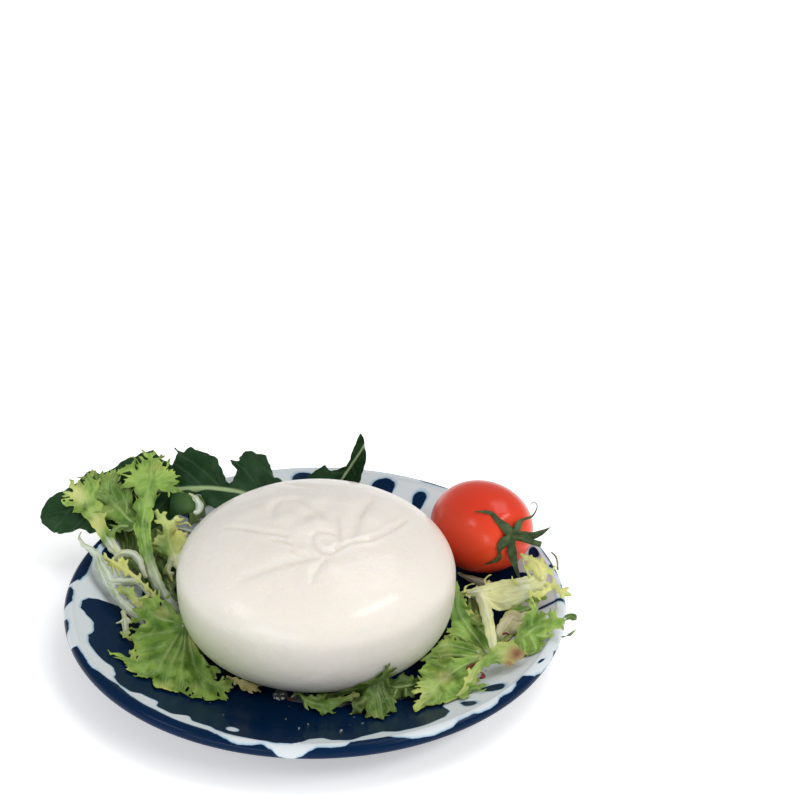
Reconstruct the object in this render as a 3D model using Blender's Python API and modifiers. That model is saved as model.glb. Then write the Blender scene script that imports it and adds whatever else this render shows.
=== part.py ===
"""A burrata on a round ceramic side plate, with salad leaves and one small plum tomato beside it.

Metres, +Z up. The origin is the centre of the plate's flat foot, on the table. -Y is the side that
faces the diner, +X is to the diner's right. Everything rests on the plate; nothing moves.
"""

import math

import bmesh
import bpy
from mathutils import Matrix, Vector

# Driving dimensions.
GAP = 0.0004  # air left between pieces that lie against each other

PLATE_RADIUS = 0.095
PLATE_HEIGHT = 0.0195
LIP_THICKNESS = 0.0056
WELL_RADIUS = 0.057
WELL_FLOOR = 0.0055
RIM_START = (0.070, 0.0090)  # radius and height where the well's curve becomes the straight rim
FOOT_RADIUS = 0.054
PLATE_STEPS = 72

BURRATA_CENTRE = Vector((0.0003, -0.0083))
BURRATA_HALF_WIDTH = 0.0521
BURRATA_HALF_DEPTH = 0.0506
BURRATA_EQUATOR = 0.0341  # height of its widest ring
BURRATA_CROWN = 0.0270  # from the widest ring up to the top
BURRATA_BELLY = 0.0313  # from the widest ring down to where the round belly would end
CROWN_POWER = 2.06
BELLY_POWER = 3.06
RING_CROWDING = 1.35  # above 1 the rings of points crowd towards the knob
KNOB_OFFSET = Vector((0.0046, -0.0158))  # of the tied neck from the burrata's centre

TOMATO_CENTRE = Vector((0.0646, 0.0289, 0.0304))
TOMATO_AXIS = Vector((0.496, -0.800, 0.337)).normalized()  # towards the stem
TOMATO_HALF_LENGTH = 0.0233
TOMATO_RADIUS = 0.0180

LEAF_THICKNESS = 0.0014
HEAP_CLEARANCE = 0.0016  # between a bunch of leaves and the burrata's side
HEAP_LIMIT = 0.0885  # a bunch reaches no further from the plate's middle, so it stays off the lip


def clear_scene():
    for obj in list(bpy.data.objects):
        bpy.data.objects.remove(obj, do_unlink=True)


def new_collection(name):
    collection = bpy.data.collections.new(name)
    bpy.context.scene.collection.children.link(collection)
    return collection


def new_material(name, colour, roughness):
    material = bpy.data.materials.new(name)
    material.use_nodes = True
    shader = material.node_tree.nodes["Principled BSDF"]
    shader.inputs["Base Color"].default_value = (*colour, 1.0)
    shader.inputs["Roughness"].default_value = roughness
    shader.inputs["Metallic"].default_value = 0.0
    return material


def object_from(name, bm, material):
    """Ends a bmesh as a named, smooth-shaded object of the part."""
    mesh = bpy.data.meshes.new(name)
    bm.to_mesh(mesh)
    bm.free()
    mesh.shade_smooth()
    obj = bpy.data.objects.new(name, mesh)
    obj.data.materials.append(material)
    PART.objects.link(obj)
    return obj


def along_curve(points, t):
    """The point at t, from 0 to 1, on a smooth curve through the given points."""
    spans = len(points) - 1
    place = min(max(t, 0.0), 1.0) * spans
    i = min(int(place), spans - 1)
    s = place - i
    before = points[max(i - 1, 0)]
    after = points[min(i + 2, spans)]
    start, end = points[i], points[i + 1]
    return 0.5 * (
        2 * start
        + (end - before) * s
        + (2 * before - 5 * start + 4 * end - after) * s**2
        + (3 * start - before - 3 * end + after) * s**3
    )


# --- plate ------------------------------------------------------------------------------------------


def plate_top(radius):
    """Height of the plate's upper face at this radius, up to the lip."""
    rim_radius, rim_height = RIM_START
    crest_radius = PLATE_RADIUS - LIP_THICKNESS / 2
    if radius <= WELL_RADIUS:
        return WELL_FLOOR
    if radius <= rim_radius:
        share = (radius - WELL_RADIUS) / (rim_radius - WELL_RADIUS)
        return WELL_FLOOR + (rim_height - WELL_FLOOR) * share**1.8
    share = (radius - rim_radius) / (crest_radius - rim_radius)
    return rim_height + (PLATE_HEIGHT - rim_height) * min(share, 1.0)


def plate_profile():
    """The plate's section from the middle of the well, over the lip and under to the foot's middle."""
    lip = LIP_THICKNESS / 2
    lip_centre = Vector((PLATE_RADIUS - lip, PLATE_HEIGHT - lip))
    radii = (WELL_RADIUS, 0.0605, 0.0640, 0.0670, RIM_START[0])
    section = [(0.0, WELL_FLOOR)] + [(r, plate_top(r)) for r in radii]
    for degrees in (112, 80, 50, 20, -10, -40, -68):
        turn = math.radians(degrees)
        section.append((lip_centre.x + lip * math.cos(turn), lip_centre.y + lip * math.sin(turn)))
    section += [(0.0745, 0.0046), (0.0640, 0.0016), (FOOT_RADIUS + 0.0015, 0.0006)]
    section += [(FOOT_RADIUS, 0.0), (0.0, 0.0)]
    return section


def make_plate(material):
    bm = bmesh.new()
    points = [bm.verts.new((r, 0.0, z)) for r, z in plate_profile()]
    for first, second in zip(points, points[1:]):
        bm.edges.new((first, second))
    plate = object_from("plate", bm, material)
    screw = plate.modifiers.new("turned", "SCREW")
    screw.steps = screw.render_steps = PLATE_STEPS
    screw.use_merge_vertices = True
    screw.merge_threshold = 0.00002
    screw.use_smooth_shade = True
    return plate


# --- burrata ----------------------------------------------------------------------------------------

# Pleats that run out from the knob: direction beside the knob, direction far from it, where each
# starts and ends, half width, and depth (below zero for a raised ridge). Degrees and metres.
PLEATS = (
    (-56, 42, 0.004, 0.038, 0.0013, 0.0011),
    (-30, 66, 0.006, 0.036, 0.0016, -0.0007),
    (20, 48, 0.014, 0.031, 0.0015, -0.0005),
    (300, 153, 0.005, 0.050, 0.0015, 0.0011),
    (150, 142, 0.022, 0.048, 0.0020, -0.0009),
    (283, 204, 0.008, 0.034, 0.0016, -0.0009),
    (285, 248, 0.006, 0.019, 0.0013, 0.0006),
    (175, 124, 0.014, 0.034, 0.0014, 0.0008),
)
PLEAT_TURN = 0.012  # how far from the knob a pleat still swings round

# Lumps of the gathered neck behind the knob: direction, distance, radius and height.
NECK_LUMPS = (
    (82, 0.0115, 0.0055, 0.0015),
    (116, 0.0195, 0.0060, 0.0016),
    (127, 0.0300, 0.0070, 0.0014),
    (150, 0.0165, 0.0050, 0.0010),
)
KNOB_RADIUS = 0.0038
KNOB_RISE = 0.0034


def pleat_depth(reach, direction, pleat):
    near, far, start, end, half_width, depth = pleat
    course = far + (near - far) * math.exp(-reach / PLEAT_TURN)
    off = math.radians((direction - course + 180) % 360 - 180)
    if abs(off) > 1.2:
        return 0.0
    aside = reach * math.sin(off)
    fade_in = min(1.0, max(0.0, (reach - start) / 0.003))
    fade_out = min(1.0, max(0.0, (end - reach) / 0.012))
    return depth * math.exp(-((aside / half_width) ** 2)) * fade_in * fade_out


def crown_relief(x, y):
    """How far the neck, its knob and the pleats raise or sink the crown at this place."""
    away = Vector((x, y)) - BURRATA_CENTRE - KNOB_OFFSET
    reach = away.length
    direction = math.degrees(math.atan2(away.y, away.x))
    relief = KNOB_RISE * math.exp(-((reach / KNOB_RADIUS) ** 4))
    relief -= 0.0030 * math.exp(-((reach / 0.011) ** 2))
    relief -= 0.0006 * math.exp(-(((reach - 0.0050) / 0.0014) ** 2))
    for toward, distance, radius, height in NECK_LUMPS:
        turn = math.radians(toward)
        lump = distance * Vector((math.cos(turn), math.sin(turn)))
        relief += height * math.exp(-(((away - lump).length / radius) ** 2))
    return relief - sum(pleat_depth(reach, direction, pleat) for pleat in PLEATS)


def burrata_point(polar, azimuth):
    """The skin's point: polar runs from 0 at the knob to pi under the belly."""
    ring = abs(math.sin(polar)) ** (2 / (CROWN_POWER if polar < math.pi / 2 else BELLY_POWER))
    x = BURRATA_CENTRE.x + BURRATA_HALF_WIDTH * ring * math.cos(azimuth)
    y = BURRATA_CENTRE.y + BURRATA_HALF_DEPTH * ring * math.sin(azimuth)
    if polar >= math.pi / 2:
        sink = BURRATA_BELLY * abs(math.cos(polar)) ** (2 / BELLY_POWER)
        return Vector((x, y, max(BURRATA_EQUATOR - sink, WELL_FLOOR + GAP)))
    x += KNOB_OFFSET.x * (1 - ring**2)
    y += KNOB_OFFSET.y * (1 - ring**2)
    aside = (x - BURRATA_CENTRE.x) / BURRATA_HALF_WIDTH
    deep = (y - BURRATA_CENTRE.y) / BURRATA_HALF_DEPTH
    out = math.hypot(aside, deep)
    z = BURRATA_EQUATOR + BURRATA_CROWN * max(0.0, 1 - out**CROWN_POWER) ** (1 / CROWN_POWER)
    return Vector((x, y, z + crown_relief(x, y) * (1 - ring**6)))


def make_burrata(material):
    bm = bmesh.new()
    bmesh.ops.create_uvsphere(bm, u_segments=56, v_segments=32, radius=1.0)
    for vert in bm.verts:
        polar = math.acos(max(-1.0, min(1.0, vert.co.z)))
        azimuth = math.atan2(vert.co.y, vert.co.x)
        crowded = math.pi * (polar / math.pi) ** RING_CROWDING
        vert.co = burrata_point(crowded, azimuth)
    return object_from("burrata", bm, material)


# --- tomato -----------------------------------------------------------------------------------------

SHOULDER_POWER = 0.92  # under 1 the fruit is fuller than an ellipsoid
DIMPLE_DEPTH = 0.0016
DIMPLE_SPREAD = 0.30  # in radians from the stem

CALYX_SEPALS = 6
CALYX_REACH = 0.0125
CALYX_HEART = 0.0032  # how far out the sepals are still joined
CALYX_THICKNESS = 0.0010
SEPAL_CURL = 0.0012  # how far the tips stand off the skin
STEM_RADIUS = 0.0017
STEM_LENGTH = 0.0035


def tomato_frame():
    """Turns +Z onto the stem's direction and moves to the tomato's centre."""
    turn = TOMATO_AXIS.to_track_quat("Z", "Y").to_matrix().to_4x4()
    return Matrix.Translation(TOMATO_CENTRE) @ turn


def tomato_skin(polar, azimuth):
    """The skin's point with the stem at polar 0, before the fruit is laid down."""
    radius = TOMATO_RADIUS * math.sin(polar) ** SHOULDER_POWER
    dimple = DIMPLE_DEPTH * math.exp(-((polar / DIMPLE_SPREAD) ** 2))
    height = TOMATO_HALF_LENGTH * math.cos(polar) - dimple
    return Vector((radius * math.cos(azimuth), radius * math.sin(azimuth), height))


def make_tomato(material):
    bm = bmesh.new()
    bmesh.ops.create_uvsphere(bm, u_segments=28, v_segments=18, radius=1.0)
    for vert in bm.verts:
        polar = math.acos(max(-1.0, min(1.0, vert.co.z)))
        vert.co = tomato_skin(polar, math.atan2(vert.co.y, vert.co.x))
    bm.transform(tomato_frame())
    return object_from("tomato", bm, material)


def make_calyx(material):
    """A star of narrow sepals that follows the shoulder of the fruit, with the stem's stub in its middle."""
    bm = bmesh.new()
    bmesh.ops.create_uvsphere(bm, u_segments=CALYX_SEPALS * 6, v_segments=8, radius=1.0)
    for vert in bm.verts:
        azimuth = math.atan2(vert.co.y, vert.co.x)
        ring = math.hypot(vert.co.x, vert.co.y)
        point = abs(math.cos(azimuth * CALYX_SEPALS / 2)) ** 2.6
        reach = ring * (CALYX_HEART + (CALYX_REACH - CALYX_HEART) * point)
        skin = tomato_skin(reach / TOMATO_RADIUS, azimuth)
        lift = GAP + SEPAL_CURL * (reach / CALYX_REACH) ** 2
        if vert.co.z > 0.01:
            lift += CALYX_THICKNESS * (1 - ring**4) + STEM_LENGTH * math.exp(-((reach / STEM_RADIUS) ** 4))
        elif ring > 0.99:
            lift += CALYX_THICKNESS * 0.3
        vert.co = Vector((reach * math.cos(azimuth), reach * math.sin(azimuth), skin.z + lift))
    bm.transform(tomato_frame())
    return object_from("tomato_calyx", bm, material)


# --- salad ------------------------------------------------------------------------------------------


def width_at(outline, t):
    """The half width at t on an outline given as (share of the length, half width) pairs."""
    for (t0, w0), (t1, w1) in zip(outline, outline[1:]):
        if t <= t1:
            return w0 + (w1 - w0) * (t - t0) / (t1 - t0)
    return outline[-1][1]


def make_leaf(name, spine, outer, inner, outer_lift, inner_lift, material, rows, columns=3):
    """A flat leaf folded along its midrib. Its outer half turns away from the plate's middle.

    outer and inner are the two halves' outlines, and each lift is that half's angle above the table."""
    bm = bmesh.new()
    bmesh.ops.create_grid(bm, x_segments=rows, y_segments=2 * columns, size=1.0)
    for vert in bm.verts:
        t = (vert.co.x + 1) / 2
        side = vert.co.y
        here = along_curve(spine, t)
        ahead = along_curve(spine, t + 0.02) - along_curve(spine, t - 0.02)
        outward = Vector((ahead.y, -ahead.x, 0.0)).normalized()
        if outward.dot(here) < 0:
            outward.negate()
        outline, lift = (outer, outer_lift) if side > 0 else (inner, inner_lift)
        angle = math.radians(lift)
        reach = abs(side) * width_at(outline, t)
        across = outward * math.cos(angle) * (1 if side > 0 else -1)
        vert.co = here + (across + Vector((0.0, 0.0, math.sin(angle)))) * reach
    leaf = object_from(name, bm, material)
    wall = leaf.modifiers.new("thickness", "SOLIDIFY")
    wall.thickness = LEAF_THICKNESS
    wall.offset = 0.0
    return leaf


def make_heap(name, start_degrees, end_degrees, outer_radii, height, bumps, material):
    """A bunch of frisee lying on the plate beside the burrata, as one solid out to its uneven outline.

    It runs round the burrata's axis between the two directions, from the burrata's side out to
    outer_radii, which are read evenly from start to end; bumps is the phase of its unevenness."""
    bm = bmesh.new()
    bmesh.ops.create_uvsphere(bm, u_segments=26, v_segments=10, radius=1.0)
    for vert in bm.verts:
        along, across, up = vert.co
        edge = math.atan2(across, along)
        uneven = 0.92 + 0.05 * math.sin(5 * edge + bumps) + 0.03 * math.sin(9 * edge - bumps)
        share = (1 - along * uneven) / 2
        turn = math.radians(start_degrees + (end_degrees - start_degrees) * share)
        side = math.hypot(BURRATA_HALF_WIDTH * math.cos(turn), BURRATA_HALF_DEPTH * math.sin(turn))
        inner = side + HEAP_CLEARANCE
        radius = inner + (width_at(outer_radii, share) - inner) * (1 + across * uneven) / 2
        place = Vector((math.cos(turn), math.sin(turn))) * radius + BURRATA_CENTRE
        place *= min(1.0, HEAP_LIMIT / place.length)
        z = plate_top(place.length) + 1.5 * GAP
        if up > 0:
            ruffle = 1 + 0.22 * math.sin(8 * along + bumps) * math.cos(5 * across + bumps)
            z += height * up**0.7 * ruffle * (0.78 - 0.22 * across)
        vert.co = (place.x, place.y, z)
    return object_from(name, bm, material)


def make_rocket_leaf(material):
    """The long dark leaf behind the burrata, laid over the rim: a round end lobe, then two side lobes."""
    spine = (
        Vector((-0.1090, 0.0545, 0.0215)),
        Vector((-0.0860, 0.0535, 0.0285)),
        Vector((-0.0620, 0.0550, 0.0310)),
        Vector((-0.0390, 0.0535, 0.0320)),
        Vector((-0.0170, 0.0560, 0.0215)),
        Vector((0.0060, 0.0610, 0.0090)),
    )
    outer = (
        (0.00, 0.002), (0.04, 0.007), (0.20, 0.011), (0.31, 0.018), (0.38, 0.021), (0.44, 0.013),
        (0.46, 0.021), (0.51, 0.022), (0.59, 0.017), (0.65, 0.005), (0.70, 0.017), (0.78, 0.017),
        (0.84, 0.004), (0.90, 0.002), (1.00, 0.0015),
    )
    inner = (
        (0.00, 0.002), (0.05, 0.009), (0.20, 0.010), (0.27, 0.006), (0.36, 0.010), (0.44, 0.014),
        (0.53, 0.007), (0.66, 0.004), (0.86, 0.002), (1.00, 0.0015),
    )
    return make_leaf("rocket_leaf", spine, outer, inner, 24, -50, material, rows=30)


def make_small_rocket_leaf(material):
    """The narrow leaf that stands up behind the burrata."""
    spine = (
        Vector((-0.0010, 0.0700, 0.0120)),
        Vector((0.0070, 0.0720, 0.0190)),
        Vector((0.0140, 0.0740, 0.0290)),
        Vector((0.0163, 0.0750, 0.0440)),
    )
    outline = ((0.00, 0.002), (0.25, 0.005), (0.55, 0.006), (0.80, 0.004), (1.00, 0.001))
    name = "rocket_leaf_small"
    return make_leaf(name, spine, outline, outline, 20, -10, material, rows=12, columns=2)


clear_scene()
PART = new_collection("burrata_on_plate")
make_plate(new_material("blue_glaze", (0.010, 0.020, 0.050), 0.12))
make_burrata(new_material("stretched_curd", (0.86, 0.82, 0.76), 0.35))
make_tomato(new_material("tomato_skin", (0.55, 0.045, 0.018), 0.20))
make_calyx(new_material("calyx_green", (0.040, 0.060, 0.012), 0.55))
ROCKET_GREEN = new_material("rocket_green", (0.020, 0.050, 0.018), 0.45)
make_rocket_leaf(ROCKET_GREEN)
make_small_rocket_leaf(ROCKET_GREEN)
FRISEE_GREEN = new_material("frisee_green", (0.24, 0.36, 0.08), 0.50)
# Name, the two directions, the outer radii, height and phase of the unevenness.
BUNCHES = (
    ("frisee_left", 134, 181, ((0, 0.074), (0.5, 0.098), (1, 0.086)), 0.022, 0.4),
    ("frisee_fan", 182, 233, ((0, 0.078), (0.5, 0.080), (1, 0.066)), 0.014, 1.9),
    ("frisee_front", 258, 301, ((0, 0.060), (0.6, 0.067), (1, 0.062)), 0.013, 3.0),
    ("frisee_right", -60, 15, ((0, 0.066), (0.4, 0.086), (0.7, 0.096), (1, 0.094)), 0.022, 4.2),
)
for bunch in BUNCHES:
    make_heap(*bunch, FRISEE_GREEN)
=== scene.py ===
import math

import bpy
import numpy as np
from mathutils import Matrix, Vector


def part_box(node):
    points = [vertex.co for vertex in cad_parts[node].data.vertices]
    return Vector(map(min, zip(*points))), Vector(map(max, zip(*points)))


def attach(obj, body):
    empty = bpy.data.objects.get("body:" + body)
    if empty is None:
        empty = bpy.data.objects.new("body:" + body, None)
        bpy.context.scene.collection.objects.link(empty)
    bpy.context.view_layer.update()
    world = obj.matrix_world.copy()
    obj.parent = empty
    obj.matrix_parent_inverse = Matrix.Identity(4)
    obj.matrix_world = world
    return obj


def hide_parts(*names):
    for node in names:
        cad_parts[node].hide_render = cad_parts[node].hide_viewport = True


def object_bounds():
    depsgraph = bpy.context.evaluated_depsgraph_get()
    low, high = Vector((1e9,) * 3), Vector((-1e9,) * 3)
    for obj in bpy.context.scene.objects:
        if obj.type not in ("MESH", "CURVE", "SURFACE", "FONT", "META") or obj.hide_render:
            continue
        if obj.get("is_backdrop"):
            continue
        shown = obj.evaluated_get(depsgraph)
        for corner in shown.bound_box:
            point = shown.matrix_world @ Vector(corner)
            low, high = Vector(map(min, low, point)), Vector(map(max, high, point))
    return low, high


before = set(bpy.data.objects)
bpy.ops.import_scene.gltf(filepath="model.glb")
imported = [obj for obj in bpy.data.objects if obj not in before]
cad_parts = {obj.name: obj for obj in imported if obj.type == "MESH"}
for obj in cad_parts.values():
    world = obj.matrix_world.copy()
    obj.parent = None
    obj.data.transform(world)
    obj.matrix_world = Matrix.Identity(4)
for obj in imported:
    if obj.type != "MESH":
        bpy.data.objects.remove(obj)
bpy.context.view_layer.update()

scene = bpy.context.scene

# --- Table, camera and lights -----------------------------------------------------------------------
# A matt white table top under a studio tent: a long soft lamp at the front right, weaker ones at the
# left, above and low in front, and white all round. The camera looks down on the plate from the diner's side.


class Wire:
    """A shader socket that Python arithmetic works on: each operation adds one Math node."""

    def __init__(self, tree, socket):
        self.tree = tree
        self.socket = socket

    def math(self, operation, *others):
        values = dict(enumerate((self, *others)))
        return add_node(self.tree, "ShaderNodeMath", {"operation": operation}, values)

    def __add__(self, other):
        return self.math("ADD", other)

    def __sub__(self, other):
        return self.math("SUBTRACT", other)

    def __rsub__(self, other):
        return add_node(self.tree, "ShaderNodeMath", {"operation": "SUBTRACT"}, {0: other, 1: self})

    def __mul__(self, other):
        return self.math("MULTIPLY", other)

    def __pow__(self, other):
        return self.math("POWER", other)

    def clamped(self):
        return add_node(self.tree, "ShaderNodeClamp", {}, {"Value": self})

    def ramped(self, low, high):
        """0 up to low and 1 from high on, smooth between."""
        values = {"Value": self, "From Min": low, "From Max": high}
        return add_node(self.tree, "ShaderNodeMapRange", {"interpolation_type": "SMOOTHSTEP"}, values)

    __radd__ = __add__
    __rmul__ = __mul__


def add_node(tree, kind, settings, values, output=0):
    """Adds a node: its settings are set first, then its sockets get values or links."""
    node = tree.nodes.new(kind)
    for name, value in settings.items():
        if name == "stops":
            ramp = node.color_ramp.elements
            while len(ramp) < len(value):
                ramp.new(1.0)
            for element, (place, colour) in zip(ramp, value):
                element.position = place
                element.color = (*colour, 1.0)
        else:
            setattr(node, name, value)
    for key, value in values.items():
        if isinstance(value, Wire):
            tree.links.new(value.socket, node.inputs[key])
        else:
            node.inputs[key].default_value = value
    return Wire(tree, node.outputs[output])


def mix_colours(tree, factor, first, second, blend="MIX"):
    """first where factor is 0 and second where it is 1."""
    values = {0: factor}
    for socket, colour in ((6, first), (7, second)):
        values[socket] = colour if isinstance(colour, Wire) else (*colour, 1.0)
    return add_node(tree, "ShaderNodeMix", {"data_type": "RGBA", "blend_type": blend}, values, output=2)


def attribute(tree, name, output="Fac"):
    return add_node(tree, "ShaderNodeAttribute", {"attribute_name": name}, {}, output)


def place_on(tree, output="Object"):
    return add_node(tree, "ShaderNodeTexCoord", {}, {}, output)


def noise(tree, scale, detail=2.0, roughness=0.5, where=None, distortion=0.0):
    values = {"Vector": where or place_on(tree), "Scale": scale, "Detail": detail, "Roughness": roughness}
    values["Distortion"] = distortion
    return add_node(tree, "ShaderNodeTexNoise", {}, values)


def bump(tree, height, distance, strength=1.0, normal=None):
    values = {"Height": height, "Distance": distance, "Strength": strength}
    if normal:
        values["Normal"] = normal
    return add_node(tree, "ShaderNodeBump", {}, values)


def new_material(name, **sockets):
    """A Principled material: sockets are named with _ for a space."""
    material = bpy.data.materials.new(name)
    material.use_nodes = True
    shader = material.node_tree.nodes["Principled BSDF"]
    for key, value in sockets.items():
        shader.inputs[key.replace("_", " ").title().replace("Ior", "IOR")].default_value = value
    return material, material.node_tree, shader


def feed(tree, shader, **wires):
    for key, wire in wires.items():
        tree.links.new(wire.socket, shader.inputs[key.replace("_", " ").title()])


LENS_MM = 100.0
CAMERA_PLACE = Vector((0.0, -0.70173, 0.49512))
CAMERA_RIGHT = Vector((0.999235, -0.036973, 0.012740))
CAMERA_UP = Vector((0.006897, 0.487294, 0.873211))

camera_data = bpy.data.cameras.new("camera")
camera_data.lens = LENS_MM
camera = bpy.data.objects.new("camera", camera_data)
scene.collection.objects.link(camera)
camera_axes = Matrix((CAMERA_RIGHT, CAMERA_UP, CAMERA_RIGHT.cross(CAMERA_UP))).transposed()
camera.matrix_world = Matrix.Translation(CAMERA_PLACE) @ camera_axes.to_4x4()
scene.camera = camera

TABLE_SIZE = 6.0
bpy.ops.mesh.primitive_plane_add(size=TABLE_SIZE)
table = bpy.context.object
table.name = "table"
material, tree, shader = new_material("table_white", roughness=0.9, specular_ior_level=0.1)
shader.inputs["Emission Color"].default_value = (1.0, 1.0, 1.0, 1.0)
shader.inputs["Emission Strength"].default_value = 0.40
grain = noise(tree, 3.0)
feed(tree, shader, base_color=mix_colours(tree, grain, (0.93, 0.93, 0.93), (0.95, 0.95, 0.95)))
table.data.materials.append(material)
table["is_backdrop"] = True

world = bpy.data.worlds.new("studio")
world.use_nodes = True
world.node_tree.nodes["Background"].inputs["Color"].default_value = (0.95, 0.97, 1.0, 1.0)
world.node_tree.nodes["Background"].inputs["Strength"].default_value = 0.42
scene.world = world

# name, place, width, depth, power, colour
LAMPS = (
    ("key", (0.80, -0.52, 0.90), 0.80, 0.20, 5.7, (1.0, 0.98, 0.95)),
    ("fill", (-0.95, -0.42, 0.60), 0.34, 0.34, 2.0, (0.96, 0.98, 1.0)),
    ("top", (0.46, 0.16, 1.15), 0.75, 0.75, 5.0, (1.0, 1.0, 1.0)),
    ("low", (-0.55, -0.95, 0.14), 0.90, 0.26, 3.6, (0.94, 0.97, 1.0)),
)
for name, place, width, depth, power, colour in LAMPS:
    lamp_data = bpy.data.lights.new(name, "AREA")
    lamp_data.shape = "RECTANGLE"
    lamp_data.size = width
    lamp_data.size_y = depth
    lamp_data.energy = power
    lamp_data.color = colour
    lamp = bpy.data.objects.new(name, lamp_data)
    lamp.location = place
    lamp.rotation_euler = (-Vector(place)).to_track_quat("-Z", "Y").to_euler()
    scene.collection.objects.link(lamp)
scene.view_settings.view_transform = "Standard"

# --- Plate ------------------------------------------------------------------------------------------
# A side plate turned on the wheel: a thick round lip, a low sloping rim and a flat well. It is dipped
# in dark blue glaze, and milk-white glaze is run round the rim by hand, so that its edges wander and
# drops of the blue show through.

plate_low, plate_high = (np.array(corner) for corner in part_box("plate"))
PLATE_RADIUS = plate_high[0]
PLATE_HEIGHT = plate_high[2]
LIP = 0.0028  # the lip's own radius
WELL_RADIUS = 0.057
WELL_FLOOR = 0.0055
RIM_START = 0.070
RIM_START_HEIGHT = 0.0090
FOOT_RADIUS = 0.054
LIP_CENTRE = (PLATE_RADIUS - LIP, PLATE_HEIGHT - LIP)
PLATE_TURNS = 640


def plate_top(radius):
    """Height of the plate's upper face at these distances from its middle."""
    curve = np.clip((radius - WELL_RADIUS) / (RIM_START - WELL_RADIUS), 0, 1)
    slope = np.clip((radius - RIM_START) / (LIP_CENTRE[0] - RIM_START), 0, 1)
    well = WELL_FLOOR + (RIM_START_HEIGHT - WELL_FLOOR) * curve**1.8
    return well + (PLATE_HEIGHT - RIM_START_HEIGHT) * slope


def plate_section():
    """The section from the well's middle over the lip to the foot's middle, as radius and height."""
    rim = np.linspace(WELL_RADIUS, LIP_CENTRE[0] - 0.001, 38)
    top = np.concatenate([np.linspace(0, WELL_RADIUS, 12)[:-1], rim])
    section = [(r, plate_top(r)) for r in top]
    for turn in np.radians(np.linspace(104, -66, 16)):
        section.append((LIP_CENTRE[0] + LIP * math.cos(turn), LIP_CENTRE[1] + LIP * math.sin(turn)))
    below = ((0.0745, 0.0046), (0.0640, 0.0016), (FOOT_RADIUS + 0.0015, 0.0006), (FOOT_RADIUS, 0.0), (0.0, 0.0))
    return np.array(section + list(below))


def link_object(name, data):
    obj = bpy.data.objects.new(name, data)
    scene.collection.objects.link(obj)
    return obj


def new_tree(name, sockets):
    """An empty Geometry Nodes tree with a Geometry input and output and these further named inputs."""
    nodes = bpy.data.node_groups.new(name, "GeometryNodeTree")
    nodes.interface.new_socket("Geometry", in_out="INPUT", socket_type="NodeSocketGeometry")
    nodes.interface.new_socket("Geometry", in_out="OUTPUT", socket_type="NodeSocketGeometry")
    for socket_name, kind in sockets.items():
        nodes.interface.new_socket(socket_name, in_out="INPUT", socket_type=kind)
    given = nodes.nodes.new("NodeGroupInput")
    wires = {socket.name: Wire(nodes, socket) for socket in given.outputs if socket.name}
    return nodes, wires


def end_tree(nodes, geometry, material):
    """Realizes the instances, gives everything the material and leaves by the tree's output."""
    real = add_node(nodes, "GeometryNodeRealizeInstances", {}, {0: geometry})
    dressed = add_node(nodes, "GeometryNodeSetMaterial", {}, {"Geometry": real, "Material": material})
    out = nodes.nodes.new("NodeGroupOutput")
    nodes.links.new(dressed.socket, out.inputs[0])


def made_by(nodes, base, name, **inputs):
    """The plain mesh that this tree makes from base, as a new object; base is removed."""
    modifier = base.modifiers.new("made", "NODES")
    modifier.node_group = nodes
    for item in nodes.interface.items_tree:
        if item.in_out == "INPUT" and item.name in inputs:
            modifier[item.identifier] = inputs[item.name]
    bpy.context.view_layer.update()
    graph = bpy.context.evaluated_depsgraph_get()
    mesh = bpy.data.meshes.new_from_object(base.evaluated_get(graph), depsgraph=graph)
    mesh.name = name
    bpy.data.objects.remove(base)
    return link_object(name, mesh)


def points_of(mesh):
    points = np.empty(len(mesh.vertices) * 3, np.float32)
    mesh.vertices.foreach_get("co", points)
    return points.reshape(-1, 3).astype(float)


def store(mesh, name, values):
    """Keeps one number a point on the mesh, for its material."""
    layer = mesh.attributes.new(name, "FLOAT", "POINT")
    layer.data.foreach_set("value", np.asarray(values, np.float32).ravel())


def glaze_material():
    material, tree, shader = new_material(
        "blue_and_white_glaze",
        roughness=0.25,
        specular_ior_level=0.06,
        coat_weight=0.04,
        coat_roughness=0.05,
    )
    where = attribute(tree, "white")
    wander = noise(tree, 260.0, 3.0) - 0.5
    edge = where + wander * 0.0011
    white = edge.ramped(-0.00018, 0.00022)
    halo = edge.ramped(-0.0001, 0.0013)
    pool = noise(tree, 38.0, 3.0)
    blue = mix_colours(tree, pool, (0.0004, 0.0120, 0.036), (0.0020, 0.0150, 0.056))
    milk = mix_colours(tree, halo, (0.32, 0.48, 0.60), (0.63, 0.67, 0.69))
    colour = mix_colours(tree, white, blue, milk)
    feed(tree, shader, base_color=colour)
    thick = white * 0.5 + noise(tree, 90.0) * 0.6
    feed(tree, shader, normal=bump(tree, thick, 0.00022))
    return material


PLATE_GLAZE = glaze_material()
sockets = {"Turns": "NodeSocketInt", "Hub": "NodeSocketFloat", "Glaze": "NodeSocketMaterial"}
tree, given = new_tree("turned_plate", sockets)
section = add_node(tree, "GeometryNodeMeshToCurve", {}, {0: given["Geometry"]})
values = {"Resolution": given["Turns"], "Radius": given["Hub"]}
turns = add_node(tree, "GeometryNodeCurvePrimitiveCircle", {}, values)
turned = add_node(tree, "GeometryNodeCurveToMesh", {}, {"Curve": turns, "Profile Curve": section})
closed = add_node(tree, "GeometryNodeMergeByDistance", {}, {"Geometry": turned, "Distance": 0.00001})
end_tree(tree, closed, given["Glaze"])

HUB = 0.000001  # the turning circle's radius, which the merge closes at the axis
section_points = [(r, -z, 0.0) for r, z in plate_section()]
section_mesh = bpy.data.meshes.new("plate_section")
section_mesh.from_pydata(section_points, [(i, i + 1) for i in range(len(section_points) - 1)], [])
base = link_object("plate_section", section_mesh)
plate = made_by(tree, base, "glazed_plate", Turns=PLATE_TURNS, Hub=HUB, Glaze=PLATE_GLAZE)
plate.data.shade_smooth()

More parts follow.
